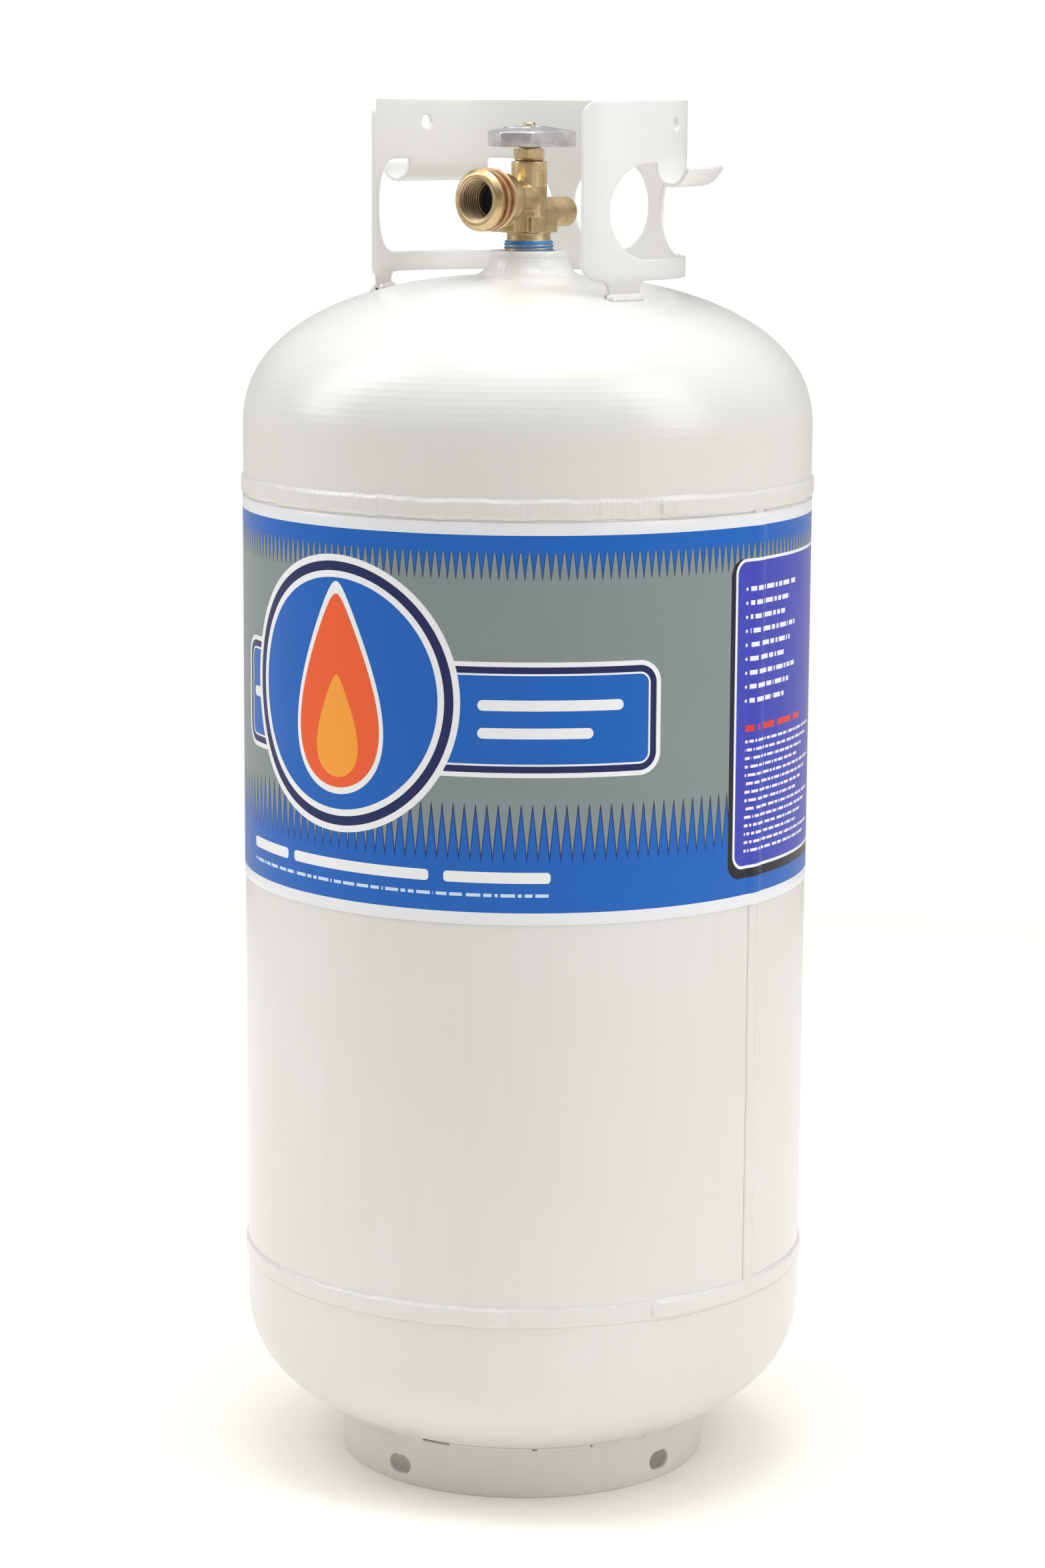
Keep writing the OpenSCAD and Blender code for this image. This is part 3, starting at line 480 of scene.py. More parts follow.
SLOT_LOOKS = dict(
    shell_paint=paint, label_film=label, forged_brass=forged, machined_brass=machined,
    wheel_metal=cast, spring_wire=steel, black_rubber=rubber, white_resin=resin,
    dark_resin=dark_resin, sealant=sealant, red_fibre=fibre, float_foam=foam,
)
slot_of = {p["node"]: p["material_slot"] for p in frame["record"]["subparts"]}
for name, node in frame["nodes"].items():
    for holder in node.material_slots:
        holder.material = SLOT_LOOKS[slot_of[name]]


# ---------------------------------------------------------------- vessel
def ripple(along, across, seed, pitch=3.4):
    """Height of a weld's solidified ripples, in metres, from places in millimetres."""
    drift = smooth_noise((along * 0.05, seed, 0), 1.0)
    wave = math.sin(TAU * (along / pitch + 0.1 * across * across / 30 + 0.5 * drift))
    swell = smooth_noise((along * 0.06, across * 0.1, seed), 1.0, 3)
    return (0.12 * wave + 0.75 * swell) * MM


def soft_step(x):
    x = min(1.0, max(0.0, x))
    return x * x * (3 - 2 * x)


def girth_bead(name, z, seed):
    """Irregular bead round the vessel: a flat crown with soft edges, thicker where its ends overlap."""
    steps, across = 1440, 25
    start, finish = 64.5, 84.0
    rows = []
    for i in range(steps):
        az = 360 * i / steps
        run = math.radians(az) * SHELL_R
        loop = loop_point(az, 9, seed)
        wander = 0.6 * noise.noise(loop)
        nose = min(1.0, max(0.0, (az - start) / 2.6))
        half = 0.92 * math.sqrt(1 - (1 - nose) ** 2)
        lump = soft_step(nose * 2.5) * soft_step((finish - az) / 14)
        fade = 1 - 0.5 * soft_step((az - 48) / 14) * soft_step((start + 4 - az) / 3)
        rise = (1.2 + 0.18 * noise.noise(loop * 4)) * fade
        row = []
        for j in range(across):
            t = -1 + 2 * j / (across - 1)
            edge = 1 + 0.10 * noise.noise(loop * 3 + Vector((0, 0, 5 * math.copysign(1, t))))
            edge += 0.03 * math.sin(TAU * run / 3.1 + 4 * noise.noise(loop * 2))
            hold = soft_step((1 - abs(t)) / 0.42) * (1 - 0.12 * t * t)
            bump = ripple(run, t * 5, seed) / MM * 0.45 * hold
            over = 1.5 * lump * soft_step((half - abs(t)) / 0.36)
            high = min(1.42 + 1.0 * lump, rise * hold * (1 - 0.3 * lump) + over + bump)
            row.append(on_azimuth(az, SHELL_R + max(0.02, high), z + wander + t * 5.6 * (edge + 0.08 * lump)))
        row.append(on_azimuth(az, SHELL_R - 1.2, z + wander + 3))
        row.append(on_azimuth(az, SHELL_R - 1.2, z + wander - 3))
        rows.append(row)
    return outward(grid_mesh(name, rows, wrap_u=True, wrap_v=True))


for bead, z, seed in (("upper_girth_weld", UPPER_WELD, 3.0), ("lower_girth_weld", LOWER_WELD, 11.0)):
    add_object(bead + "_bead", girth_bead(bead + "_bead", z, seed), paint,
               replaces=[bead])


def seam_bead():
    """Flat rippled bead that runs up the course between the girth welds."""
    across, steps, under_film = 13, 900, 0.75
    low, high = LOWER_WELD + 4, UPPER_WELD - 4
    rows = []
    for i in range(steps + 1):
        z = low + (high - low) * i / steps
        wander = 0.5 * noise.noise(Vector((z * 0.02, 5, 0)))
        width = 4.3 + 0.4 * noise.noise(Vector((z * 0.05, 9, 0)))
        row = []
        for j in range(across):
            t = -1 + 2 * j / (across - 1)
            hold = soft_step((1 - abs(t)) / 0.4)
            most = under_film if z > SLEEVE_LOW - 0.5 else 0.95
            top = min(most, 0.78 * hold + ripple(z, t * 4, 21.0, 2.2) / MM * 0.3 * hold)
            place = SEAM_AZ + math.degrees((wander + t * width) / SHELL_R)
            row.append(on_azimuth(place, SHELL_R + max(0.02, top), z))
        for t in (0.6, -0.6):
            place = SEAM_AZ + math.degrees((wander + t * width) / SHELL_R)
            row.append(on_azimuth(place, SHELL_R - 1.2, z))
        rows.append(row)
    return outward(grid_mesh("long_seam_bead", rows, wrap_v=True, caps=True))


add_object("long_seam_bead", seam_bead(), paint, replaces=["long_seam_weld"])


def label_film():
    """Film of the sleeve, drawn tight over the seam, with faint shrink waves."""
    low, high, steps = SLEEVE_LOW, SLEEVE_HIGH, 720
    lip = 0.15
    between = [low + lip + (high - low - 2 * lip) * k / 60 for k in range(1, 60)]
    levels = [low, low + lip, *between, high - lip, high]
    rows = []
    for i in range(steps):
        az = 360 * i / steps
        off = math.radians((az - SEAM_AZ + 180) % 360 - 180) * SHELL_R
        hill = 0.85 * math.exp(-((off / 5.2) ** 4)) + 0.1 * math.exp(-((off / 11) ** 2))
        row = []
        for k, z in enumerate(levels):
            wave = 0.05 * noise.noise(loop_point(az, 5, z * 0.012))
            out = SHELL_R + 0.4 + min(1.05, hill + wave)
            row.append(on_azimuth(az, out - (0.12 if k in (0, len(levels) - 1) else 0), z))
        row.append(on_azimuth(az, SHELL_R + 0.1 + hill, high - 0.2))
        row.append(on_azimuth(az, SHELL_R + 0.1 + hill, low + 0.2))
        rows.append(row)
    return outward(grid_mesh("label_film", rows, wrap_u=True, wrap_v=True))


add_object("label_film", label_film(), label, replaces=["label_sleeve"])


def fillet_weld(name, start, sweep, corner, leg_out, leg_up, seed):
    """Bead laid in the corner between a wall and a head. corner is its radius and height. leg_out is the
    bead's reach along the head and the function for the head's height; leg_up is its rise on the wall."""
    steps = max(24, int(sweep * 6))
    side, rows = 1 if leg_up > 0 else -1, []
    r0, z0 = corner
    for i in range(steps + 1):
        az = start + sweep * i / steps
        run = math.radians(az) * r0
        fade = min(1, 7 * min(i, steps - i) / steps + 0.25) ** 0.6
        size = fade * (1 + 0.16 * noise.noise(loop_point(az, 6, seed)))
        reach, rise = abs(leg_out[0]) * size, abs(leg_up) * size
        away = 1 if leg_out[0] > 0 else -1
        row = [on_azimuth(az, r0 - away * 0.6, z0 - side * 0.8)]
        for k in range(9):
            t = k / 8
            bulge = 0.21 * math.sin(math.pi * t)
            r = r0 + away * reach * (1 - t + bulge * 0.7)
            z = (1 - t) * leg_out[1](r0 + away * reach) + t * (z0 + side * rise) + side * bulge * rise
            wave = ripple(run, 4 * t, seed, 2.6) / MM * 0.35 * math.sin(math.pi * t)
            row.append(on_azimuth(az, r + away * wave, z + side * wave))
        rows.append(row)
    return outward(grid_mesh(name, rows, wrap_v=True, caps=True))


def top(r):
    return head_z(r, **TOP_HEAD)


def bottom(r):
    return head_z(r, **BOTTOM_HEAD)


def joined(name, meshes):
    bm = bmesh.new()
    for mesh in meshes:
        bm.from_mesh(mesh)
    out = bpy.data.meshes.new(name)
    bm.to_mesh(out)
    bm.free()
    return out


stitches = [
    fillet_weld(f"stitch{k}", az - 20.5, 41, FOOT_CORNER, (3.0, bottom), -2.2, 31.0 + k)
    for k, az in enumerate((-26, 100.5, 227))
]
add_object("foot_ring_stitches", joined("foot_ring_stitches", stitches), paint,
           replaces=["foot_ring_welds"])
# Paint bridges most of the joint between the stitches and leaves a few short gaps open
bridges = [
    fillet_weld(f"bridge{k}", start, finish - start, FOOT_CORNER, (1.3, bottom), -0.9, 61.0 + k)
    for k, (start, finish) in enumerate(
        ((-6.5, 6.7), (16.1, 42.1), (43.6, 60.6), (61.2, 81.0), (120.0, 207.5), (246.5, 314.5)))
]
add_object("foot_ring_paint", joined("foot_ring_paint", bridges), paint)
feet = []
for k, off in enumerate((-71.75, 71.75, 180)):
    az = COLLAR_TURN + off
    for face, wall_r, reach, seed in (("out", COLLAR_R, 3.2, 41.0), ("in", COLLAR_INSIDE, -3.2, 51.0)):
        corner = (wall_r, top(wall_r))
        feet.append(fillet_weld(f"leg_{face}{k}", az - 8, 16, corner, (reach, top), 3.2, seed + k))
add_object("collar_fillets", joined("collar_fillets", feet), paint,
           replaces=["collar_welds"])


def spud_fillet():
    """Hollow fillet from the boss out onto the head, with faint ripples."""
    rows, steps, reach, crown = [], 360, 9.4, 667.0
    for i in range(steps):
        az = 360 * i / steps
        ring = loop_point(az, 1, 0)
        size = 1 + 0.09 * noise.noise(ring * 2.2 + Vector((0, 0, 4)))
        row = []
        for k in range(21):
            t = k / 20 * math.pi / 2
            r = SPUD_R + reach * size * (1 - math.sin(t)) + 0.02
            low = top(SPUD_R + reach * size)
            z = crown - (crown - low) * math.cos(t) ** 1.15
            wave = 0.22 * noise.noise(ring * 2.6 + Vector((0, 0, t))) * math.sin(2 * t)
            wave += 0.05 * math.sin(TAU * (az / 11 + noise.noise(ring * 3))) * math.sin(2 * t)
            row.append(on_azimuth(az, r + wave, max(z, top(r) + 0.02) + wave))
        row += [on_azimuth(az, SPUD_R - 1, crown - 0.5), on_azimuth(az, SPUD_R - 1, top(SPUD_R) - 0.8),
                on_azimuth(az, SPUD_R + reach, top(SPUD_R + reach) - 0.8)]
        rows.append(row)
    return outward(grid_mesh("spud_fillet", rows, wrap_u=True, wrap_v=True))


add_object("spud_fillet", spud_fillet(), paint, replaces=["spud_weld"])
spud_outline = rounded(
    [(13.2, 653), (17.4, 653), (17.4, 658), (SPUD_R, 658),
     (SPUD_R, SPUD_TOP), (14.6, SPUD_TOP), (14.6, 670.1), (13.2, 670.1)],
    [0, 0.5, 0, 0, 1.3, 0.5, 0.3, 0.3])
add_object("spud_boss", revolve("spud_boss", spud_outline), paint,
           replaces=["valve_spud"])


# ---------------------------------------------------------------- sheet metal
def sheet_from_cad(node, name, width, seed):
    """Copy of a CAD sheet part with rolled edges: fine quads, then softened."""
    source = frame["nodes"][node]
    mesh = source.data.copy()
    bm = bmesh.new()
    bm.from_mesh(mesh)
    bmesh.ops.remove_doubles(bm, verts=bm.verts, dist=1e-6)
    bm.to_mesh(mesh)
    bm.free()
    mesh.transform(source.matrix_world)
    heights = [v.co.z for v in mesh.vertices]
    obj = add_object(name, mesh, None, replaces=[node])
    remesh = obj.modifiers.new("fine", "REMESH")
    remesh.mode = "VOXEL"
    remesh.voxel_size = width
    soften = obj.modifiers.new("soften", "SMOOTH")
    soften.iterations, soften.factor = 6, 0.5
    apply_modifiers(obj)
    obj.data.materials.clear()
    obj.data.materials.append(paint)
    for poly in obj.data.polygons:
        poly.use_smooth = True
    displaced(obj.data, lambda p: 0.00025 * noise.noise(p * 14 + Vector((seed, 0, 0))))
    low_edge, top_edge = min(heights), max(heights)
    for v in obj.data.vertices:
        v.co.z = min(top_edge, max(low_edge, v.co.z))
    return obj


sheet_from_cad("collar", "collar_sheet", 0.00055, 2.0)
sheet_from_cad("foot_ring", "foot_ring_sheet", 0.0006, 8.0)


# ---------------------------------------------------------------- valve
def turned_part(name, profile, where, material):
    """Closed profile of (radius, along) millimetres turned about local Z and placed by a matrix."""
    steps, rows = 128, []
    for i in range(steps):
        a = TAU * i / steps
        rows.append([where @ (Vector((math.cos(a) * r, math.sin(a) * r, h)) * MM) for r, h in profile])
    return add_object(name, outward(grid_mesh(name, rows, wrap_u=True, wrap_v=True)), material)


def pointing(x, z, quarters, axis):
    """Frame at (x, 0, z) millimetres whose Z axis is turned by quarter turns about a row axis."""
    return Matrix.Translation((x * MM, 0, z * MM)) @ Matrix.Rotation(quarters * math.pi / 2, 4, axis)


OUTLET = pointing(0, OUTLET_Z, 1, "X")
RELIEF = pointing(0, RELIEF_Z, -1, "X")
BLEEDER = pointing(0, BLEEDER_Z, -1, "Y")
SKIRT_ARM = pointing(0, 689.8, 1, "X")
BLEED_PORT = pointing(-3, 683.9, 1, "X")
UP = Matrix.Identity(4)
FINE_PITCH, COARSE_PITCH = 1.814, 5.08


def helical_thread(name, where, low, high, r_root, r_crest, pitch, material, crest=0.37, flank=0.13,
                   inner=None, hand=1, taper=0.0, runout=0.6, steps=72):
    """Real helical thread on a sleeve. inner is the sleeve's other radius. An inside thread has r_crest under
    r_root. crest and flank are shares of the pitch."""
    grow = r_crest - r_root
    inner = inner if inner is not None else r_root - 1.5
    cuts = max(24, int((high - low) / pitch * 28))

    def radius(a, h):
        phase = (h / pitch - hand * a / TAU) % 1.0
        if phase < crest:
            shape = 1.0
        elif phase < crest + flank:
            shape = 1 - (phase - crest) / flank
        elif phase < 2 * crest + flank:
            shape = 0.0
        else:
            shape = min(1.0, (phase - 2 * crest - flank) / max(1e-6, 1 - 2 * crest - flank))
        ease = min(1, (h - low) / (runout * pitch)) * min(1, (high - h) / (runout * pitch))
        return r_root + grow * shape * max(0.0, ease) + taper * (h - low)

    rows = []
    for i in range(steps):
        a = TAU * i / steps
        row = [Vector((math.cos(a), math.sin(a), 0)) * radius(a, low + (high - low) * k / cuts)
               + Vector((0, 0, low + (high - low) * k / cuts)) for k in range(cuts + 1)]
        row += [Vector((math.cos(a) * inner, math.sin(a) * inner, h)) for h in (high, low)]
        rows.append([where @ (p * MM) for p in row])
    mesh = outward(grid_mesh(name, rows, wrap_u=True, wrap_v=True))
    return add_object(name, mesh, material)


def coil_spring(name, node, where, coil_r, wire_r, low, length):
    """Round wire wound between two seats."""
    turns, sides = 4.5, 16
    rings = int(turns * 48)
    rise = length - 2 * wire_r
    rows = []
    for i in range(rings + 1):
        a = TAU * turns * i / rings
        here = low + wire_r + rise * i / rings
        row = []
        for k in range(sides):
            b = TAU * k / sides
            r = coil_r + wire_r * math.cos(b)
            row.append(where @ (Vector((r * math.cos(a), r * math.sin(a), here + wire_r * math.sin(b))) * MM))
        rows.append(row)
    mesh = outward(grid_mesh(name, rows, wrap_v=True, caps=True))
    spring = add_object(name, mesh, steel, replaces=[node])
    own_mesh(spring)
    return spring


# The check spring stands on its housing's floor, and the relief spring bears on the adjuster at its far end
coil_spring("check_coil", "check_spring", OUTLET, 4.4, 0.3, 18.65, 6.5)
coil_spring("relief_coil", "relief_spring", RELIEF, 3.9, 0.45, 19.05, 7.3)


def solid_cylinder(r, low, high, where, r2=None):
    bm = bmesh.new()
    bmesh.ops.create_cone(bm, cap_ends=True, segments=64, radius1=r * MM,
                          radius2=(r if r2 is None else r2) * MM, depth=(high - low) * MM)
    mesh = bpy.data.meshes.new("tool")
    bm.to_mesh(mesh)
    bm.free()
    mesh.transform(where @ Matrix.Translation((0, 0, (low + high) / 2 * MM)))
    return mesh


def solid_box(low, high):
    bm = bmesh.new()
    bmesh.ops.create_cube(bm, size=1)
    mesh = bpy.data.meshes.new("tool")
    bm.to_mesh(mesh)
    bm.free()
    low, high = Vector(low), Vector(high)
    for v in mesh.vertices:
        v.co = Vector([(low[i] + high[i]) / 2 + v.co[i] * (high[i] - low[i]) for i in range(3)]) * MM
    return mesh


def melt(name, meshes, voxel, rounds, replaces):
    """Union of solids as one forging: remeshed fine, so that their meetings turn into fillets."""
    obj = add_object(name, joined(name, meshes), None, replaces=replaces)
    remesh = obj.modifiers.new("fine", "REMESH")
    remesh.mode = "VOXEL"
    remesh.voxel_size = voxel
    soften = obj.modifiers.new("soften", "SMOOTH")
    soften.iterations, soften.factor = rounds, 0.5
    return obj


def carve(obj, tools):
    """Cuts machined surfaces into a forging, with crisp edges."""
    cutter = bpy.data.objects.new("cutter", joined("cutter", tools))
    bpy.context.scene.collection.objects.link(cutter)
    cut = obj.modifiers.new("carve", "BOOLEAN")
    cut.object, cut.operation, cut.solver = cutter, "DIFFERENCE", "EXACT"
    cut.use_self = True
    apply_modifiers(obj)
    bpy.data.objects.remove(cutter)
    return obj


forging = melt("valve_forging", [
    solid_cylinder(11.8, 675, 681, UP),
    solid_box((-11, -11, 680.5), (11, 11, 689)),
    solid_cylinder(9.7, 681, 718.7, UP),
    solid_cylinder(8.15, 0, 31.7, RELIEF),
    solid_cylinder(9.5, 0, 14, OUTLET),
    solid_cylinder(9.5, 13.9, 21, OUTLET, 13.9),
    solid_cylinder(13.9, 20.9, 29.4, OUTLET),
    solid_box((-8.2, -22.6, 681.2), (8.2, 0, 692)),
    solid_cylinder(8.2, 0, 22.6, SKIRT_ARM),
    solid_cylinder(5.2, 0, 15, BLEEDER),
], 0.00032, 10, replaces=["valve_body"])
carve(forging, [
    solid_cylinder(7.2, 694.6, 725, UP),
    solid_cylinder(4.2, 5, 18, OUTLET), solid_cylinder(9.0, 16.5, 34, OUTLET),
    solid_cylinder(5.6, 12.6, 40, RELIEF),
    solid_cylinder(2.5, 11.2, 20, BLEEDER),
    solid_cylinder(0.6, 20, 27, BLEED_PORT),
])
forging.data.materials.clear()
forging.data.materials.append(forged)
forging.data.materials.append(machined)
for poly in forging.data.polygons:
    poly.use_smooth = True
    c = poly.center / MM
    if c.z > 705.2 and poly.area < 2e-6:
        poly.material_index = 1
forging.data.set_sharp_from_angle(angle=math.radians(40))

shank_outline = rounded([(6.5, 640), (11.7, 640), (11.7, 652), (13.0, 671), (13.0, 674.9),
                         (11.8, 676.6), (11.8, 679), (6.5, 679)], 0.3, 2)
shank = turned_part("valve_shank", shank_outline, UP, forged)
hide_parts("valve_body")

shoulder_outline = rounded([(9.0, 29.0), (13.8, 28.6), (14.4, 29.0), (15.9, 30.2), (16.5, 30.8),
                            (15.9, 31.4), (14.2, 31.9), (9.0, 31.9)], 0.35, 3)
turned_part("outlet_shoulder", shoulder_outline, OUTLET, machined)
helical_thread("outlet_outer_thread", OUTLET, 31.0, 42.0, 14.1, 16.65, COARSE_PITCH, coppery,
               inner=12.0, runout=0.25, steps=120)
face_outline = rounded([(11.9, 44.95), (13.9, 44.95), (16.6, 42.1), (16.3, 41.3), (13.4, 41.3), (11.3, 44.3)],
                       [0.15, 0.5, 0.4, 0.2, 0.1, 0.1], 3)
turned_part("outlet_face", face_outline, OUTLET, machined)
# The inner thread takes the darker brass: painted shade inside the bore
helical_thread("outlet_inner_thread", OUTLET, 31.0, 44.6, 11.55, 10.35, FINE_PITCH, shaded_bore_brass,
               crest=0.16, flank=0.34, inner=12.4, hand=-1, runout=0.3, steps=120)
helical_thread("shank_thread", UP, 653, 674.6, 12.0, 12.75, FINE_PITCH, forged,
               crest=0.1, flank=0.4, inner=10.5, taper=0.012, runout=0.5)
sealant_bead = helical_thread("sealant_bead", UP, 671.0, 676.2, 12.75, 13.45, FINE_PITCH, sealant,
                              crest=0.2, flank=0.3, inner=12.2, runout=0.3)
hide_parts("thread_sealant")
rim_outline = rounded([(5.7, 30.6), (8.05, 30.6), (8.05, 31.95), (5.7, 31.95)], 0.3, 3)
turned_part("relief_rim", rim_outline, RELIEF, machined)


def prism(outline, low, high):
    n = len(outline)
    verts = [Vector((x, y, z)) * MM for z in (low, high) for x, y in outline]
    faces = [tuple(range(n - 1, -1, -1)), tuple(range(n, 2 * n))]
    faces += [(i, (i + 1) % n, n + (i + 1) % n, n + i) for i in range(n)]
    return outward(mesh_from("prism", verts, faces))


def gland():
    """Hexagon nut with chamfered corners over a turned collar."""
    corners = [math.radians(60 * k + 3) for k in range(6)]
    hexagon = [(9.18 * math.cos(a), 9.18 * math.sin(a)) for a in corners]
    nut = add_object("gland_hex", prism(rounded(hexagon, 0.35, 3), 720.2, 725.2), None,
                     replaces=["gland_nut"])
    envelope = [(0.01, 719.6), (8.4, 719.6), (9.3, 720.5), (9.3, 724.6), (8.2, 725.25), (0.01, 725.25)]
    trim = bpy.data.objects.new("trim", revolve("trim_cone", envelope, 96))
    bpy.context.scene.collection.objects.link(trim)
    shape = nut.modifiers.new("chamfer", "BOOLEAN")
    shape.object, shape.operation, shape.solver = trim, "INTERSECT", "EXACT"
    hole = bpy.data.objects.new("hole", solid_cylinder(4.02, 700, 730, UP))
    bpy.context.scene.collection.objects.link(hole)
    drill = nut.modifiers.new("drill", "BOOLEAN")
    drill.object, drill.operation, drill.solver = hole, "DIFFERENCE", "EXACT"
    apply_modifiers(nut)
    for tool in (trim, hole):
        bpy.data.objects.remove(tool)
    nut.data.materials.clear()
    nut.data.materials.append(machined)
    for poly in nut.data.polygons:
        poly.use_smooth = True
    nut.data.set_sharp_from_angle(angle=math.radians(25))


gland()
collar_outline = rounded([(4.02, 711.3), (7.1, 711.3), (7.1, 718.95),
                          (7.9, 719.0), (7.7, 720.3), (4.02, 720.3)], 0.25, 3)
turned_part("gland_collar", collar_outline, UP, coppery)


# ---------------------------------------------------------------- handwheel
def wheel_outline():
    """Outline of the wheel: three long sides and three short ones, with round corners."""
    points = []
    for k in range(3):
        for side in (-1, 1):
            a = math.radians(WHEEL_TURN + 120 * k + side * WHEEL_HALF)
            points.append((WHEEL_R * math.sin(a), -WHEEL_R * math.cos(a)))
    return rounded(points, 3.2, 7)


def wheel_dome(r):
    """Height of the wheel's domed roof at distance r from its axis."""
    dome_r = (WHEEL_R ** 2 + WHEEL_DOME ** 2) / (2 * WHEEL_DOME)
    return WHEEL_TOP - (dome_r - math.sqrt(dome_r ** 2 - r * r))


def handwheel():
    """Cast wheel with a domed roof, a soft rim, a skirt and a hub, as rings from the roof's middle out, down
    the skirt, in under the roof and round the hub."""
    outline = wheel_outline()
    rim, rim_drop, roof = 0.95, 1.4, 731.0

    def scaled(share, height):
        return [(x * share, y * share, height(x, y)) for x, y in outline]

    def circle(r, z):
        return [(x / math.hypot(x, y) * r, y / math.hypot(x, y) * r, z) for x, y in outline]

    rings = []
    for share in (0.16, 0.3, 0.45, 0.6, 0.72, 0.82, 0.9, rim):
        rings.append(scaled(share, lambda x, y: wheel_dome(math.hypot(x, y) * share)))
    for k in range(1, 7):
        t = k / 6 * math.pi / 2
        fall = rim_drop * (1 - math.cos(t))
        share = rim + (1 - rim) * math.sin(t)
        rings.append(scaled(share, lambda x, y: wheel_dome(math.hypot(x, y) * rim) - fall))
    skirt = ((1.0, 729.5), (0.995, 727.2), (0.975, 726.45), (0.95, 726.3), (0.915, 726.3),
             (0.9, 726.7), (0.89, 730.6), (0.7, roof), (0.5, roof), (0.34, roof))
    for share, z in skirt:
        rings.append(scaled(share, lambda x, y: z))
    hub = ((6.6, 730.4), (6.5, 727.0), (6.2, 725.6), (3.4, 725.5), (3.4, 733.0), (2.1, 735.4), (2.1, 736.6),
           (3.4, 736.9), (3.9, 737.5))
    rings += [circle(r, z) for r, z in hub]
    rows = [[Vector(p) * MM for p in ring] for ring in rings]
    return outward(grid_mesh("wheel", rows, wrap_u=True, wrap_v=True))


def arrow(az_from, az_to, r, width, lift):
    """Raised curved arrow that follows the wheel's dome. Its feet lie half a millimetre inside the roof."""
    steps, head_from, rows = 40, 0.72, []
    for i in range(steps + 1):
        t = i / steps
        az = az_from + (az_to - az_from) * t
        half = width / 2 if t < head_from else width * 1.35 * (1 - t) / (1 - head_from) + 0.02
        row = []
        for across, rise in ((-1, -0.5), (-0.72, lift), (0.72, lift), (1, -0.5)):
            place = r + across * half
            row.append(on_azimuth(az, place, wheel_dome(place) + rise))
        rows.append(row)
    return outward(grid_mesh("arrow", rows, wrap_v=True, caps=True))


wheel = add_object("wheel_casting", handwheel(), None, "stem", ["handwheel"])
wheel.data.materials.append(cast)
displaced(wheel.data, lambda p: 0.00008 * noise.noise(p * 190))
arrows = joined("wheel_arrows", [arrow(-28, 42, 14.2, 1.7, 0.32), arrow(212, 142, 14.2, 1.7, 0.32),
                                 arrow(60, 124, 9.0, 1.2, 0.28), arrow(-56, -118, 9.0, 1.2, 0.28)])
add_object("wheel_arrows", arrows, cast, "stem")

# ---------------------------------------------------------------- studio
def area_light(name, place, aim, size, power, tall=None):
    """White rectangle that faces aim. size is its width and tall its height, in metres."""
    data = bpy.data.lights.new(name, "AREA")
    data.shape = "RECTANGLE"
    data.size, data.size_y, data.energy = size, tall or size, power
    obj = bpy.data.objects.new(name, data)
    bpy.context.scene.collection.objects.link(obj)
    obj.location = place
    obj.rotation_mode = "QUATERNION"
    obj.rotation_quaternion = (Vector(aim) - Vector(place)).to_track_quat("-Z", "Y")
    return obj


CAMERA_AZ = 39


def camera_side(across, toward, up):
    """Place given from the camera's side: across to its right, toward it, and up, in metres."""
    a = math.radians(CAMERA_AZ)
    right, near = Vector((math.cos(a), math.sin(a), 0)), Vector((math.sin(a), -math.cos(a), 0))
    return right * across + near * toward + Vector((0, 0, up))


CENTRE = Vector((0, 0, 0.38))
area_light("right_box", camera_side(1.45, 0.8, 1.45), CENTRE, size=0.8, power=14.0, tall=1.7)
area_light("left_box", camera_side(-1.5, 0.0, 1.55), CENTRE, size=0.7, power=13.5, tall=1.7)
area_light("overhead", camera_side(0.1, 0.15, 2.15), CENTRE, size=1.0, power=9.0)
area_light("inside_foot_ring", Vector((0, 0, 0.012)), Vector((0, 0, 1)), size=0.12, power=0.03)


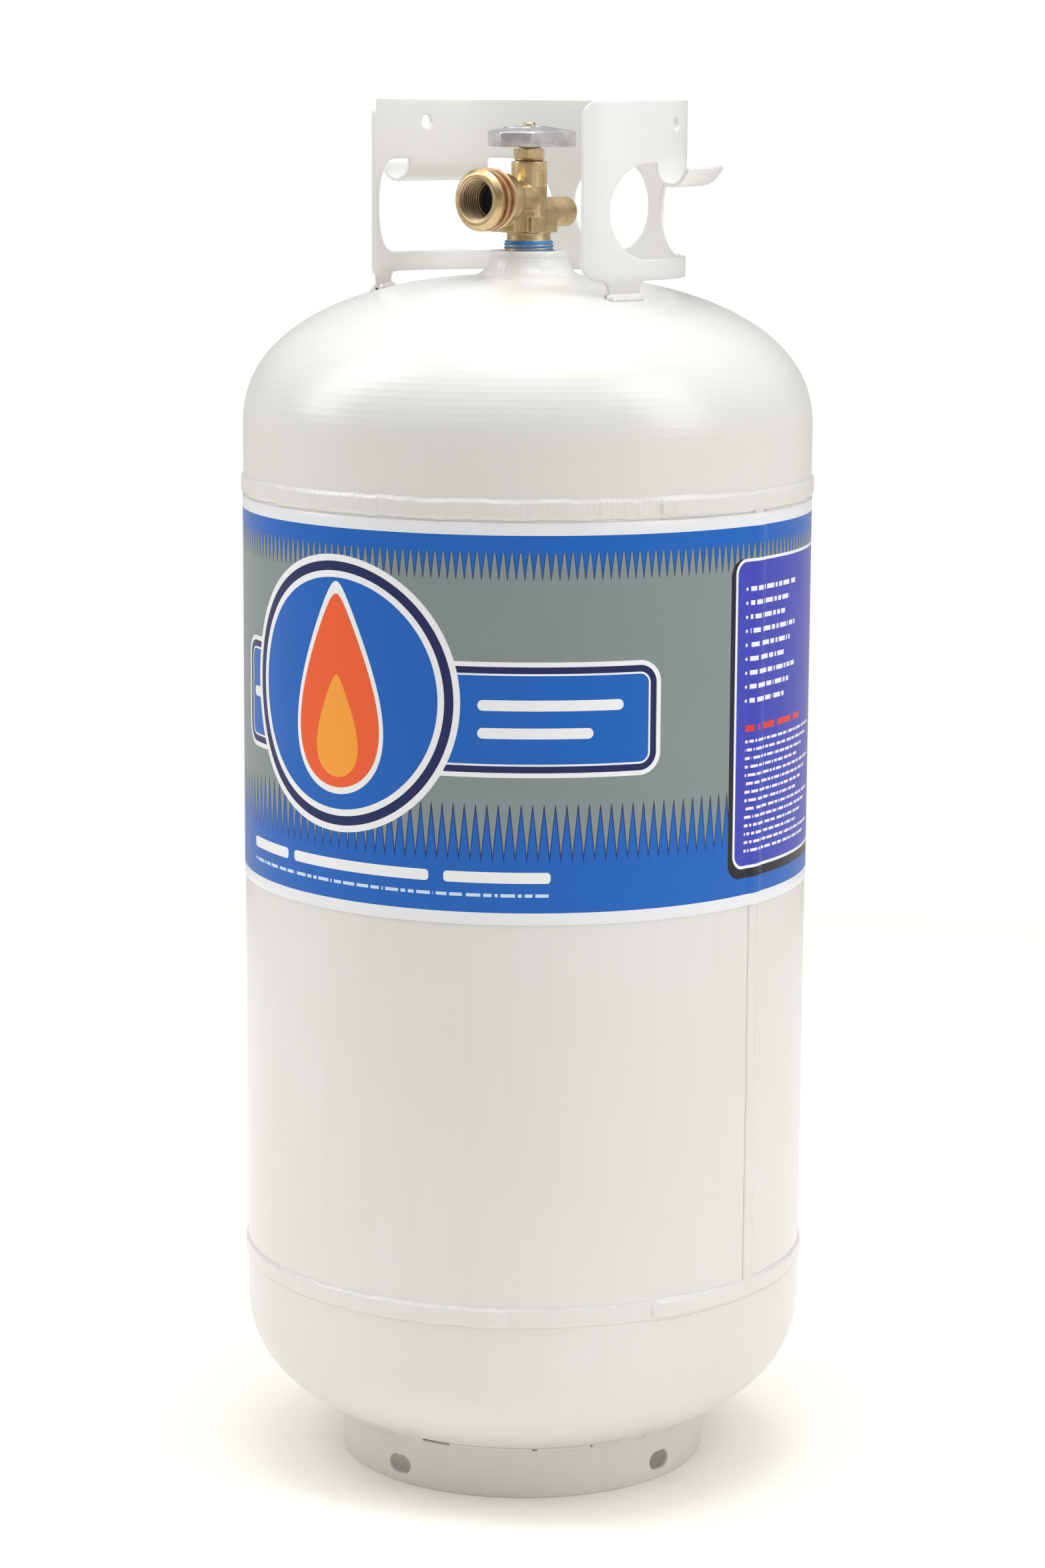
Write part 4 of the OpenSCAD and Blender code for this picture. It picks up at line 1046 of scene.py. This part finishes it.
def studio_dome():
    """Even studio: white close to the horizon, dim above it and bright overhead, alike all the way round."""
    world = bpy.data.worlds.new("studio")
    world.use_nodes = True
    tree = world.node_tree
    split = tree.nodes.new("ShaderNodeSeparateXYZ")
    ramp = tree.nodes.new("ShaderNodeValToRGB")
    tree.links.new(tree.nodes.new("ShaderNodeTexCoord").outputs["Generated"], split.inputs[0])
    tree.links.new(split.outputs["Z"], ramp.inputs[0])
    ramp.color_ramp.elements.remove(ramp.color_ramp.elements[1])
    ramp.color_ramp.elements[0].position = 0.0
    ramp.color_ramp.elements[0].color = (0.28, 0.27, 0.25, 1)
    for place, level in ((0.10, 0.12), (0.5, 0.15), (0.75, 0.50), (1.0, 0.80)):
        ramp.color_ramp.elements.new(place).color = (level, level, level, 1)
    background = tree.nodes["Background"]
    tree.links.new(ramp.outputs[0], background.inputs[0])
    background.inputs[1].default_value = 2.0
    backdrop = tree.nodes.new("ShaderNodeBackground")
    backdrop.inputs[0].default_value = (1, 1, 1, 1)
    backdrop.inputs[1].default_value = 1.02
    seen, choose = tree.nodes.new("ShaderNodeLightPath"), tree.nodes.new("ShaderNodeMixShader")
    tree.links.new(seen.outputs["Is Camera Ray"], choose.inputs[0])
    tree.links.new(background.outputs[0], choose.inputs[1])
    tree.links.new(backdrop.outputs[0], choose.inputs[2])
    tree.links.new(choose.outputs[0], tree.nodes["World Output"].inputs[0])
    bpy.context.scene.world = world


studio_dome()

bpy.ops.mesh.primitive_circle_add(vertices=128, radius=1.5, fill_type="NGON")
floor = bpy.context.object
floor.name = "floor"
ground = Surface("floor", (0.92, 0.90, 0.86), 0.8, specular=0.1)
ground.shader.inputs["Emission Color"].default_value = (1, 0.98, 0.95, 1)
ground.shader.inputs["Emission Strength"].default_value = 0.05
ground.bump(ground.noise(40, 2), 0.0001, 0.1)
floor.data.materials.append(ground.mat)

camera_data = bpy.data.cameras.new("camera")
camera = bpy.data.objects.new("camera", camera_data)
bpy.context.scene.collection.objects.link(camera)
camera_data.sensor_fit = "AUTO"
camera_data.sensor_width = 36
camera_data.lens = 89.76
camera.location = on_azimuth(CAMERA_AZ, 2134, 753)
camera_down, camera_roll, camera_yaw = math.radians(9.976), -0.0055, 0.0018
camera.rotation_euler = (math.pi / 2 - camera_down, camera_roll, math.radians(CAMERA_AZ) + camera_yaw)
bpy.context.scene.camera = camera
bpy.context.scene.view_settings.view_transform = "Standard"
